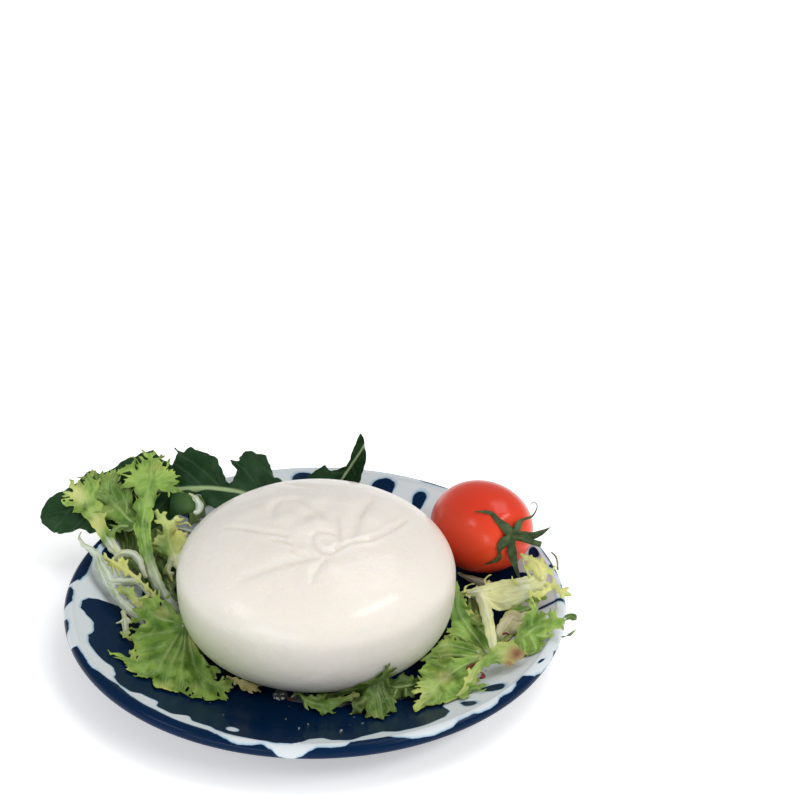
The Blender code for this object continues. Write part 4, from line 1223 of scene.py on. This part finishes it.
         (72.5, 0, 22, 2.3), (76.5, -2, 24, 2.3), (81, -3.5, 26, 2.2), (85, -3, 27.5, 1.9),
         (87, -2, 28.5, 0.8)),
        ((62, -1, 18, 1.4), (66, -3.5, 18, 2.6), (70, -6.5, 18.5, 3), (73.5, -7.5, 20, 2.8),
         (77, -7.5, 22, 2.2), (80.5, -7.5, 24, 1.7), (84, -6.5, 25.5, 1.4), (86.5, -6, 27, 0.8)),
        ((72, -2.5, 20, 1.5), (76.5, -4.5, 22, 1.5), (80, -5.5, 24, 1)),
        ((62.5, -2.5, 20, 1.4), (63.5, -9, 20.5, 2.4), (64, -15, 20, 2.3), (64.5, -21, 19, 2.1),
         (65, -26.5, 17.5, 1.9), (65.5, -31.5, 15.5, 1.4), (66.5, -33.5, 14, 0.6)),
    )),
    ("ribbon_teeth", "frisee_right", dict(pale=0, bare=0, yellow=1, tooth=1.2, ruffle=0.5), (
        ((58.5, -2.5, 18.5, 0.5), (56.5, -0.5, 19, 0.4), (57, 3, 19, 0.35), (58.5, 4.5, 19.5, 0.3),
         (60.5, 4.5, 20, 0.2)),
        ((66, -1.5, 21, 0.5), (65, 1.5, 21.5, 0.45), (64.5, 4, 22, 0.4), (66, 6, 22.5, 0.3),
         (67.5, 6.5, 23, 0.15)),
        ((61, 0, 19.5, 0.4), (61.5, 3, 20, 0.2)),
        ((77, -3.5, 25, 0.4), (75, -1.5, 25, 0.35), (74.5, 1, 25.5, 0.2)),
        ((80.5, -8, 24.5, 0.7), (83, -10.5, 24.5, 0.8), (86, -10, 25.5, 0.9), (88, -8, 26.5, 0.7),
         (87.5, -6, 27, 0.4), (86.5, -6.5, 27, 0.3)),
        ((80.5, -10.5, 24, 0.5), (81.5, -13.5, 23.5, 0.3), (82, -16.5, 23, 0.15)),
    )),
    ("ribbon_head", "frisee_right", dict(pale=0, bare=0, yellow=1, tooth=1.0, ruffle=0.7), (
        ((85.5, -5, 28.5, 1.2), (85, -2, 29.5, 2.4), (84.5, 1.5, 30, 2.2), (82.5, 4, 30.5, 1.5),
         (80, 6.5, 30.5, 1), (78.5, 8, 31, 0.5)),
        ((81, -3, 28, 0.7), (80, -0.5, 29, 0.5), (79, 3, 29.5, 0.4), (79, 5, 30, 0.4),
         (80.5, 6, 30.5, 0.4)),
        ((84, -3.5, 29, 0.9), (82.5, -0.5, 29.5, 0.6), (80.5, 2.5, 30, 0.5)),
        ((85.5, -2.5, 29, 0.8), (88.5, -1.5, 29, 0.5), (90, 0.5, 29, 0.35), (91, 2, 29.5, 0.15)),
        ((86, 0.5, 29.5, 1), (87.5, 1, 30, 0.5)),
    )),
    ("ribbon_tip", "frisee_right", dict(pale=0, bare=0, yellow=1, tooth=0.9, ruffle=0.6), (
        ((87, -6.5, 26, 0.6), (89.5, -6.5, 27, 0.6), (90.5, -9.5, 27, 0.8), (92.5, -12, 27, 1.4),
         (94.5, -13.5, 27, 0.7), (96, -14.5, 27, 0.25)),
        ((90, -6.5, 27, 0.6), (89.5, -4.5, 28, 0.3)),
        ((92.5, -12, 27, 0.9), (92, -14, 26, 0.3)),
    )),
    ("olive_inner", "frisee_right", dict(pale=0, bare=200, yellow=0.35, shade=0.55), (
        ((60, 2.5, 15, 1.6), (60.5, -1.5, 14, 2.6), (61.5, -5.5, 13, 2), (62, -7.5, 12, 0.8)),
    )),
    ("pale_tip", "frisee_right", dict(pale=0, bare=6, yellow=0.4, tooth=1.2, ruffle=0.5), (
        ((55.5, -3.5, 18, 0.8), (56.5, -7.5, 17, 1.4), (58, -11, 16, 1.9), (60.5, -14, 15.5, 1.5),
         (63, -15.5, 15, 0.3)),
    )),
    ("leaning_blade", "frisee_right", dict(pale=0, bare=14, yellow=0.12, ruffle=1.2, tooth=2.4), (
        ((63, -27.5, 11, 2.4), (60.5, -22, 12.5, 4.2), (57, -16, 14, 4.8), (54, -10.5, 16, 4),
         (53, -7, 19, 3), (53, -4.5, 22, 1.5), (53.5, -1, 25, 0.3)),
        ((66.5, -25, 11, 2.6), (64.5, -20, 12, 3.8), (61.5, -15.5, 13, 3.6), (59.5, -12.5, 14, 2.6)),
        ((55, -17.5, 13, 2.8), (51.5, -15.5, 13, 0.9), (49, -16.5, 12.5, 0.4)),
        ((56, -22, 12.5, 2.4), (53, -19, 12.5, 2), (50, -19, 12.5, 0.5)),
    )),
    ("fronds", "frisee_right", dict(pale=0, bare=4, yellow=0.1, tooth=2.2, ruffle=1.8, shade=0.15), (
        ((60, -28.5, 11.5, 2), (54.5, -25.5, 11.5, 2.6), (50, -24.5, 12, 2), (46, -25.5, 12, 1.2),
         (43, -27.5, 12, 0.4)),
        ((61.5, -32, 11.5, 2.2), (54.5, -30.5, 11.5, 2.8), (49.5, -30, 11.5, 3), (45, -31, 11.5, 2.2),
         (41.5, -31, 11.5, 0.9), (38.5, -33, 11.5, 0.3)),
        ((50.5, -25.5, 12, 1.2), (49.5, -21, 12, 0.7), (48, -18.5, 12, 0.3)),
    )),
    ("low_leaf", "frisee_right", dict(pale=0, bare=8, yellow=0.2, tooth=2.6, ruffle=2.0, blush=((47, -46, 14, 3.5, 0.35),)), (
        ((60.5, -35, 13, 1.6), (55.5, -37.5, 13, 2.8), (51, -41.5, 13, 4), (47, -45, 12.5, 4.6),
         (44, -48.5, 12, 4.6), (42, -52.5, 11.5, 3.8), (39.5, -56.5, 11, 2.2), (37, -59.5, 10.5, 1.5),
         (35.5, -64, 10.5, 0.5)),
        ((43.5, -46, 12, 2.8), (40.5, -44, 12.5, 1.5), (37.5, -41.5, 13, 0.4)),
        ((42.5, -49.5, 12, 2.2), (39.5, -49, 12.5, 1.4), (36.5, -49, 13, 0.6)),
        ((42, -52.5, 11.5, 2), (39, -54, 12, 0.8), (37.5, -56, 12, 0.3)),
        ((47, -52, 12, 4.2), (49, -56.5, 12.5, 3.6), (51.5, -57.5, 13, 2.2), (53, -62.5, 13, 0.4)),
        ((44.5, -54.5, 11.5, 2.8), (43.5, -59, 11.5, 1.1), (41, -60, 11, 0.4)),
        ((47, -57, 12, 2.4), (46.5, -61, 11.5, 0.8)),
        ((49, -50, 13, 4), (52, -53, 13.5, 3), (54.5, -55, 14, 2.2), (57.5, -55, 15, 1.3),
         (59, -56.5, 15, 0.4)),
        ((47, -40, 13, 3.6), (43.5, -37.5, 13, 2.2), (40.5, -36, 13, 0.6)),
    )),
    ("rolled_leaf", "frisee_right", dict(pale=0, bare=6, yellow=0.35, tooth=1.2, ruffle=0.8, blush=((73, -42, 21, 4, 0.9), (70, -47, 20, 2.5, 0.8))), (
        ((51, -57.5, 13, 1), (54, -55.5, 14.5, 1.7), (56, -51.5, 16, 1.7), (57.5, -48, 17.5, 1.5),
         (60, -46, 19, 1.3), (64, -45.5, 20, 1.2), (67.5, -45.5, 20, 1.1), (70.5, -47, 20, 0.8),
         (71.5, -48, 20, 0.3)),
        ((61.5, -41, 17, 1.2), (65, -40, 18, 2.4), (69, -39.5, 19.5, 3.2), (72, -41, 20.5, 2.9),
         (74, -43, 20.5, 1.5), (74, -44.5, 20, 0.4)),
        ((67.5, -36, 19, 2.2), (69, -36, 20, 1.5), (71.5, -38, 20.5, 1.5)),
    )),
    ("rim_leaf", "frisee_right", dict(pale=0, bare=4, yellow=0.12, tooth=2.2, ruffle=1.8), (
        ((72.5, -30, 16, 1.2), (75.5, -30.5, 18, 2.4), (78.5, -29, 20.5, 4), (81.5, -27.5, 22, 3.8),
         (85, -29, 24, 2.3), (87.5, -30, 25, 1.9), (90, -29.5, 26, 1.3), (93, -28.5, 27, 0.3)),
        ((80, -25.5, 21.5, 3.4), (80.5, -20.5, 22, 2.4), (82, -17, 22.5, 0.9), (82.5, -13, 23, 0.3)),
        ((82.5, -25, 23, 2.2), (84.5, -25, 24, 0.8)),
        ((87, -28.5, 25, 1.5), (88, -26, 26, 0.7), (87.5, -24.5, 26.5, 0.3)),
        ((79, -31, 20, 3.2), (80, -34.5, 19.5, 2.8), (80.5, -38.5, 19, 1.5), (78.5, -40, 18.5, 0.4)),
        ((76.5, -30.5, 18, 2.4), (76.5, -35.5, 18, 2), (76, -38.5, 17.5, 0.5)),
        ((81.5, -31.5, 21, 2.2), (84, -33, 21.5, 0.6)),
        ((87, -31, 25, 0.9), (89, -32.5, 25, 0.3)),
    )),
    ("inner_leaf", "frisee_right", dict(pale=200, bare=200, yellow=0.55, ruffle=1.0, plump=0.2, rusty=0.25), (
        ((68.5, -20, 12.5, 2), (71.5, -15, 13.5, 3.2), (74, -11.5, 15, 3), (76, -13.5, 15.5, 2.8),
         (78.5, -13.5, 16.5, 2.2), (79.5, -11, 17.5, 0.8)),
        ((74, -18.5, 14.5, 2.6), (77, -18, 15.5, 2)),
    )),
    ("upper_sprig", "frisee_right", dict(pale=0, bare=0, yellow=0.15, tooth=1.2), (
        ((72, -10, 16, 0.8), (75, -10.5, 17, 1.8), (77.5, -11, 18, 1.8), (80, -10.5, 19, 0.5)),
        ((80, -7, 20, 1.1), (82, -7, 21, 1.6), (84, -8, 22, 1.6), (86.5, -9.5, 23, 0.8)),
    )),
    ("stem_strip", "frisee_right", dict(pale=200, bare=200, yellow=0.1, ruffle=0.2, plump=0.4, rusty=0.2), (
        ((56, 21, 14, 0.5), (58.5, 17, 15, 1), (61.5, 13, 16, 1.4), (65, 9.5, 17, 1.5),
         (68, 5.5, 18, 1.3), (70.5, 1.5, 19, 0.6)),
    )),
    ("dark_end", "frisee_right", dict(pale=0, bare=200, shade=1, ruffle=0.3), (
        ((91.5, -29.5, 27, 0.5), (93.5, -28.5, 27.5, 1.2), (94.5, -29, 27.5, 1.3),
         (95.5, -30.5, 27.5, 0.5)),
    )),
    ("dark_curl", "frisee_right", dict(pale=0, bare=200, shade=1, ruffle=0.1), (
        ((90, -33, 21.5, 0.25), (91.5, -33.5, 22, 0.3), (93, -34, 23, 0.35), (94.5, -33.5, 24, 0.35),
         (95.5, -33, 25, 0.2)),
    )),
    ("thin_curl", "frisee_right", dict(pale=0, bare=200, shade=0.9, ruffle=0.1), (
        ((90.5, 12.5, 29, 0.15), (92, 11, 28, 0.2), (92.5, 9, 27, 0.3), (92.5, 5, 26, 0.3)),
    )),
    ("red_flecks", "frisee_right", dict(pale=0, bare=200, rusty=1.2, ruffle=0.3), (
        ((69.5, -26, 18, 0.25), (70.5, -25.5, 18, 0.4), (71.5, -26.5, 18, 0.25)),
        ((69.5, -31, 18, 0.25), (70.5, -31.5, 18, 0.6), (71, -33, 18, 0.3)),
        ((54.5, -45.5, 16.5, 0.25), (55.5, -45.5, 17, 0.7), (56.5, -44, 17, 0.5), (58, -43, 17, 0.25)),
        ((59, -49.5, 18, 0.3), (60, -50, 18, 0.4), (60.5, -51.5, 17.5, 0.4), (59, -52.5, 17.5, 0.3)),
    )),
)

BUNCHES = {}
for number, (name, bunch, habit, ribs) in enumerate(LEAVES):
    leaf = frisee_leaf(name, ribs, 100 + number, **habit)
    BUNCHES.setdefault(bunch, []).append(leaf)
for bunch, leaves in BUNCHES.items():
    for leaf in leaves:
        if leaf is leaves[0]:
            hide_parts(bunch)
        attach(leaf, "root")

# --- Tomato -----------------------------------------------------------------------------------------
# A ripe plum tomato lying on the rim, its stem end towards the diner. The skin is tight and glossy.

TOMATO_AXIS = Vector((0.496, -0.800, 0.337)).normalized()
TOMATO_CENTRE = Vector((0.0646, 0.0289, 0.0304))
TOMATO_HALF_LENGTH = 0.0233
TOMATO_RADIUS = 0.0180
TOMATO_TURN = Matrix.Translation(TOMATO_CENTRE) @ TOMATO_AXIS.to_track_quat("Z", "Y").to_matrix().to_4x4()


def laid_down(points):
    """Takes points from the standing fruit, stem up, to where it lies."""
    turn = np.array(TOMATO_TURN)
    return points @ turn[:3, :3].T + turn[:3, 3]


def tomato_skin(polar, azimuth):
    ring = np.abs(np.sin(polar)) ** 0.92
    lobes = 1 + 0.008 * np.cos(3 * azimuth + 1.0) * np.sin(polar)
    height = TOMATO_HALF_LENGTH * np.cos(polar) - 0.0016 * np.exp(-((polar / 0.30) ** 2))
    height += 0.0006 * np.exp(-(((math.pi - polar) / 0.12) ** 2)) * -1
    x = TOMATO_RADIUS * ring * np.cos(azimuth) * lobes
    y = TOMATO_RADIUS * ring * np.sin(azimuth) * lobes
    return laid_down(np.stack([x, y, height], axis=-1))


def tomato_material():
    material, tree, shader = new_material(
        "ripe_tomato_skin",
        roughness=0.36,
        specular_ior_level=0.14,
        subsurface_weight=0.15,
        subsurface_radius=(1.0, 0.25, 0.1),
        subsurface_scale=0.003,
        coat_weight=0.36,
        coat_roughness=0.18,
        ior=1.45,
    )
    blotch = noise(tree, 60.0, 2.0)
    height = add_node(tree, "ShaderNodeSeparateXYZ", {}, {0: place_on(tree)}, output=2)
    red = mix_colours(tree, blotch, (0.84, 0.064, 0.020), (0.91, 0.082, 0.027))
    # Painted shade: the red turns darker towards the top of the fruit.
    feed(tree, shader, base_color=mix_colours(tree, height.ramped(0.036, 0.048), red, (0.68, 0.040, 0.012)))
    freckle = noise(tree, 1400.0, 2.0)
    feed(tree, shader, normal=bump(tree, freckle * 0.3 + noise(tree, 70.0), 0.00012))
    return material


tomato = closed_shell("plum_tomato", tomato_skin, 96, 128)
tomato.data.materials.append(tomato_material())
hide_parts("tomato")
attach(tomato, "root")

# --- Calyx ------------------------------------------------------------------------------------------
# The tomato's green star: five thin sepals that hug the fruit and curl up at their tips, and the cut
# stub of its stem. Each is a ribbon swept along its path, in millimetres: x, y, z and half width.

SEPALS = (
    ((74.8, 8.7, 38.0, 1.57), (73.1, 9.6, 41.1, 1.9), (70.9, 10.5, 43.1, 1.46), (69.3, 11.3, 44.2, 1.12),
     (67.1, 13.5, 45.9, 0.9), (64.2, 14.2, 46.4, 0.56), (60.5, 15.5, 45.6, 0.11)),
    ((75.2, 9.0, 38.2, 1.46), (76.6, 11.0, 40.5, 1.57), (77.6, 12.6, 41.6, 1.46), (79.4, 15.0, 42.2, 0.67),
     (82.8, 17.0, 42.3, 0.45), (84.4, 17.5, 44.6, 0.29), (84.8, 18.0, 46.7, 0.22), (83.5, 18.0, 48.2, 0.17),
     (82.1, 17.0, 47.3, 0.09)),
    ((75.6, 9.0, 37.9, 1.23), (77.2, 9.6, 38.6, 1.34), (78.8, 9.6, 38.8, 1.46), (82.3, 9.3, 38.4, 1.51),
     (85.7, 9.0, 40.0, 1.12), (87.7, 9.5, 40.9, 0.56), (89.4, 10.0, 41.9, 0.11)),
    ((74.8, 8.7, 38.0, 1.46), (74.6, 7.6, 35.8, 1.57), (74.9, 7.0, 33.0, 1.9), (75.4, 6.4, 30.0, 1.68),
     (76.2, 5.2, 27.2, 1.01), (77.0, 4.0, 25.1, 0.78), (77.7, 3.2, 23.3, 0.39), (78.8, 2.6, 20.3, 0.11)),
    ((74.4, 8.4, 37.7, 1.46), (72.2, 7.5, 37.5, 1.9), (70.9, 6.9, 36.3, 1.79), (70.1, 6.5, 34.6, 1.23),
     (70.0, 6.3, 32.9, 0.56), (70.1, 6.6, 30.9, 0.9), (69.2, 6.9, 29.2, 1.06), (67.9, 7.1, 28.4, 0.67),
     (65.9, 7.6, 27.2, 0.39), (64.2, 8.4, 26.2, 0.11)),
)
STEM = ((74.6, 10.2, 37.6, 1.9), (76.4, 7.8, 38.8, 1.3), (78.4, 6.4, 39.1, 1.2), (80.4, 5.0, 39.1, 1.15),
        (82.6, 3.5, 39.2, 1.1), (85.2, 2.5, 38.9, 1.2))  # fmt: skip


def calyx_material():
    material, tree, shader = new_material("calyx_green", roughness=0.55, specular_ior_level=0.35)
    cloud = noise(tree, 300.0, 3.0)
    hairs = noise(tree, 2200.0, 2.0)
    green = mix_colours(tree, cloud.ramped(0.35, 0.65), (0.020, 0.042, 0.010), (0.066, 0.108, 0.032))
    feed(tree, shader, base_color=mix_colours(tree, hairs.ramped(0.6, 0.8) * 0.3, green, (0.16, 0.20, 0.10)))
    feed(tree, shader, normal=bump(tree, hairs * 0.4 + cloud, 0.0003))
    return material


def paths_mesh(name, paths):
    """Edges along the paths, which keep each point's half width and the way that its broad side faces."""
    points, edges, widths, faces = [], [], [], []
    for path in paths:
        course = smooth_course(path, 6)
        start = len(points)
        edges += [(start + i, start + i + 1) for i in range(len(course) - 1)]
        points += (course[:, :3] / 1000).tolist()
        widths += (course[:, 3] / 1000).tolist()
        ahead = np.gradient(course[:, :3], axis=0)
        ahead /= np.linalg.norm(ahead, axis=1)[:, None]
        out = course[:, :3] / 1000 - np.array(TOMATO_CENTRE)
        facing = out / np.linalg.norm(out, axis=1)[:, None] + (0.0, -0.6, 0.3)
        facing -= ahead * (facing * ahead).sum(axis=1)[:, None]
        faces += (facing / np.linalg.norm(facing, axis=1)[:, None]).tolist()
    mesh = bpy.data.meshes.new(name)
    mesh.from_pydata(points, edges, [])
    store(mesh, "half_width", widths)
    layer = mesh.attributes.new("facing", "FLOAT_VECTOR", "POINT")
    layer.data.foreach_set("vector", np.array(faces, np.float32).ravel())
    return link_object(name, mesh)


def sweep_tree():
    """Sweeps an oval along each path: its thickness is a share of its width."""
    sockets = {"Flatness": "NodeSocketVector", "Sides": "NodeSocketInt", "Skin": "NodeSocketMaterial"}
    tree, given = new_tree("swept_ribbon", sockets)
    wide = add_node(tree, "GeometryNodeInputNamedAttribute", {"data_type": "FLOAT"}, {"Name": "half_width"})
    facing = add_node(tree, "GeometryNodeInputNamedAttribute", {"data_type": "FLOAT_VECTOR"}, {"Name": "facing"})
    path = add_node(tree, "GeometryNodeMeshToCurve", {}, {0: given["Geometry"]})
    path = add_node(tree, "GeometryNodeSetCurveNormal", {"mode": "FREE"}, {"Curve": path, "Normal": facing})
    oval = add_node(tree, "GeometryNodeCurvePrimitiveCircle", {}, {"Resolution": given["Sides"], "Radius": 1.0})
    oval = add_node(tree, "GeometryNodeTransform", {}, {"Geometry": oval, "Scale": given["Flatness"]})
    values = {"Curve": path, "Profile Curve": oval, "Scale": wide, "Fill Caps": True}
    swept = add_node(tree, "GeometryNodeCurveToMesh", {}, values)
    end_tree(tree, swept, given["Skin"])
    return tree


SWEEP = sweep_tree()
CALYX_GREEN = calyx_material()
star, stub = paths_mesh("sepal_paths", SEPALS), paths_mesh("stem_path", (STEM,))
sepals = made_by(SWEEP, star, "calyx_sepals", Flatness=(0.24, 1, 1), Sides=12, Skin=CALYX_GREEN)
stem = made_by(SWEEP, stub, "calyx_stem", Flatness=(1, 1, 1), Sides=20, Skin=CALYX_GREEN)
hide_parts("tomato_calyx")
for piece in (sepals, stem):
    piece.data.shade_smooth()
    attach(piece, "root")

# --- Whey, curd crumbs and specks -------------------------------------------------------------------
# Whey seeps from the burrata: a thin film round its foot and a few drops on the glaze, clear and wet.
# Crumbs of curd and specks of dried leaf lie about. The drops, crumbs and specks are scattered by one tree over small
# round sheets on the plate.

# x, y and radius in millimetres
WHEY_POOLS = (
    (-5.8, -46.6, 3.6), (-13, -44.5, 3.0), (4, -47.8, 3.2), (9.5, -49.4, 3.2), (18, -47.0, 3.0),
    (29.5, -44.8, 4.4), (38, -39, 3.4),
)


def whey_material():
    material, tree, shader = new_material(
        "clear_whey", roughness=0.04, ior=1.34, transmission_weight=0.92, base_color=(0.88, 0.92, 0.86, 1.0)
    )
    feed(tree, shader, normal=bump(tree, noise(tree, 300.0), 0.0001))
    return material


def pool_gap(places):
    total = np.full(len(places), 99.0)
    for x, y, radius in WHEY_POOLS:
        total = joined(total, np.linalg.norm(places - (x, y), axis=1) - radius, 1.6)
    return total + 0.35 * rolling(places, np.random.default_rng(3), 3.0, 8.0)


def film(name, gap, low, high, rise):
    """A thin sheet of liquid on the plate, which rises from its edge."""
    flat, faces = cut_sheet(np.array(low, float), np.array(high, float), gap, 0.45)
    deep = rise * (1 - np.exp(np.minimum(gap(flat), 0) / 0.7))
    height = plate_top(np.hypot(*flat.T) / 1000) * 1000 + 0.08 + deep
    return walled(name, np.column_stack([flat, height]), faces, deep * 0.4 + 0.03, WHEY)


WHEY = whey_material()
pool = film("whey_film", pool_gap, (-20, -56), (46, -30), 0.45)


def scatter_tree():
    """Drops over the faces of a sheet: how many a square metre, how big, how flat, and the seed."""
    sockets = {"Density": "NodeSocketFloat", "Smallest": "NodeSocketFloat", "Largest": "NodeSocketFloat"}
    sockets.update({"Flatness": "NodeSocketVector", "Seed": "NodeSocketInt", "Skin": "NodeSocketMaterial"})
    tree, given = new_tree("scattered_drops", sockets)
    values = {"Mesh": given["Geometry"], "Density": given["Density"], "Seed": given["Seed"]}
    spots = add_node(tree, "GeometryNodeDistributePointsOnFaces", {"distribute_method": "RANDOM"}, values)
    drop = add_node(tree, "GeometryNodeMeshIcoSphere", {}, {"Radius": 1.0, "Subdivisions": 3})
    drop = add_node(tree, "GeometryNodeTransform", {}, {"Geometry": drop, "Scale": given["Flatness"]})
    values = {2: given["Smallest"], 3: given["Largest"], "Seed": given["Seed"]}
    size = add_node(tree, "FunctionNodeRandomValue", {"data_type": "FLOAT"}, values, output=1)
    values = {"Points": spots, "Instance": drop, "Scale": size}
    drops = add_node(tree, "GeometryNodeInstanceOnPoints", {}, values)
    end_tree(tree, drops, given["Skin"])
    return tree


def patch_on_plate(name, middle, radius, lift):
    """A small round sheet over the plate, for the scatter to use up. In millimetres."""
    turns = np.radians(np.arange(0, 360, 30))
    rim = np.array([middle]) + radius * np.stack([np.cos(turns), np.sin(turns)], axis=1)
    rim = np.vstack([[middle], rim]) / 1000
    height = plate_top(np.hypot(*rim.T)) + lift / 1000
    mesh = bpy.data.meshes.new(name)
    faces = [(0, i + 1, (i + 1) % 12 + 1) for i in range(12)]
    mesh.from_pydata(np.column_stack([rim, height]).tolist(), [], faces)
    return link_object(name, mesh)


SCATTER = scatter_tree()


def speck_material():
    material, tree, shader = new_material("dried_speck", roughness=0.6)
    cloud = noise(tree, 600.0)
    feed(tree, shader, base_color=mix_colours(tree, cloud, (0.10, 0.030, 0.012), (0.20, 0.075, 0.030)))
    return material


SPECK = speck_material()
CRUMB = curd_material("curd_crumb", 0.0004)
# Name, middle, radius, lift, number a square metre, smallest and largest in metres, flatness, seed, material.
SCATTERS = (
    ("whey_drops", (3, -62), 17, 0.0, 16000, 0.00012, 0.00045, 0.45, 4, WHEY),
    ("whey_drops_left", (-32, -52), 10, 0.0, 16000, 0.00012, 0.0004, 0.45, 9, WHEY),
    ("curd_crumbs", (-13.5, -46.6), 2.4, 0.3, 350000, 0.0002, 0.0007, 0.5, 2, CRUMB),
    ("specks_left", (-9.5, -48.2), 1.5, 0.6, 900000, 0.00015, 0.0005, 0.6, 5, SPECK),
    ("specks_right", (60, -41), 3.5, 0.3, 250000, 0.00012, 0.00035, 0.6, 6, SPECK),
)
scattered = [pool]
for name, middle, radius, lift, density, least, most, flatness, seed, skin in SCATTERS:
    base = patch_on_plate(name, middle, radius, lift)
    inputs = dict(Density=density, Smallest=least, Largest=most, Flatness=(1, 1, flatness), Seed=seed, Skin=skin)
    drops = made_by(SCATTER, base, name, **inputs)
    drops.data.shade_smooth()
    scattered.append(drops)
for piece in scattered:
    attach(piece, "root")

low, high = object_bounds()
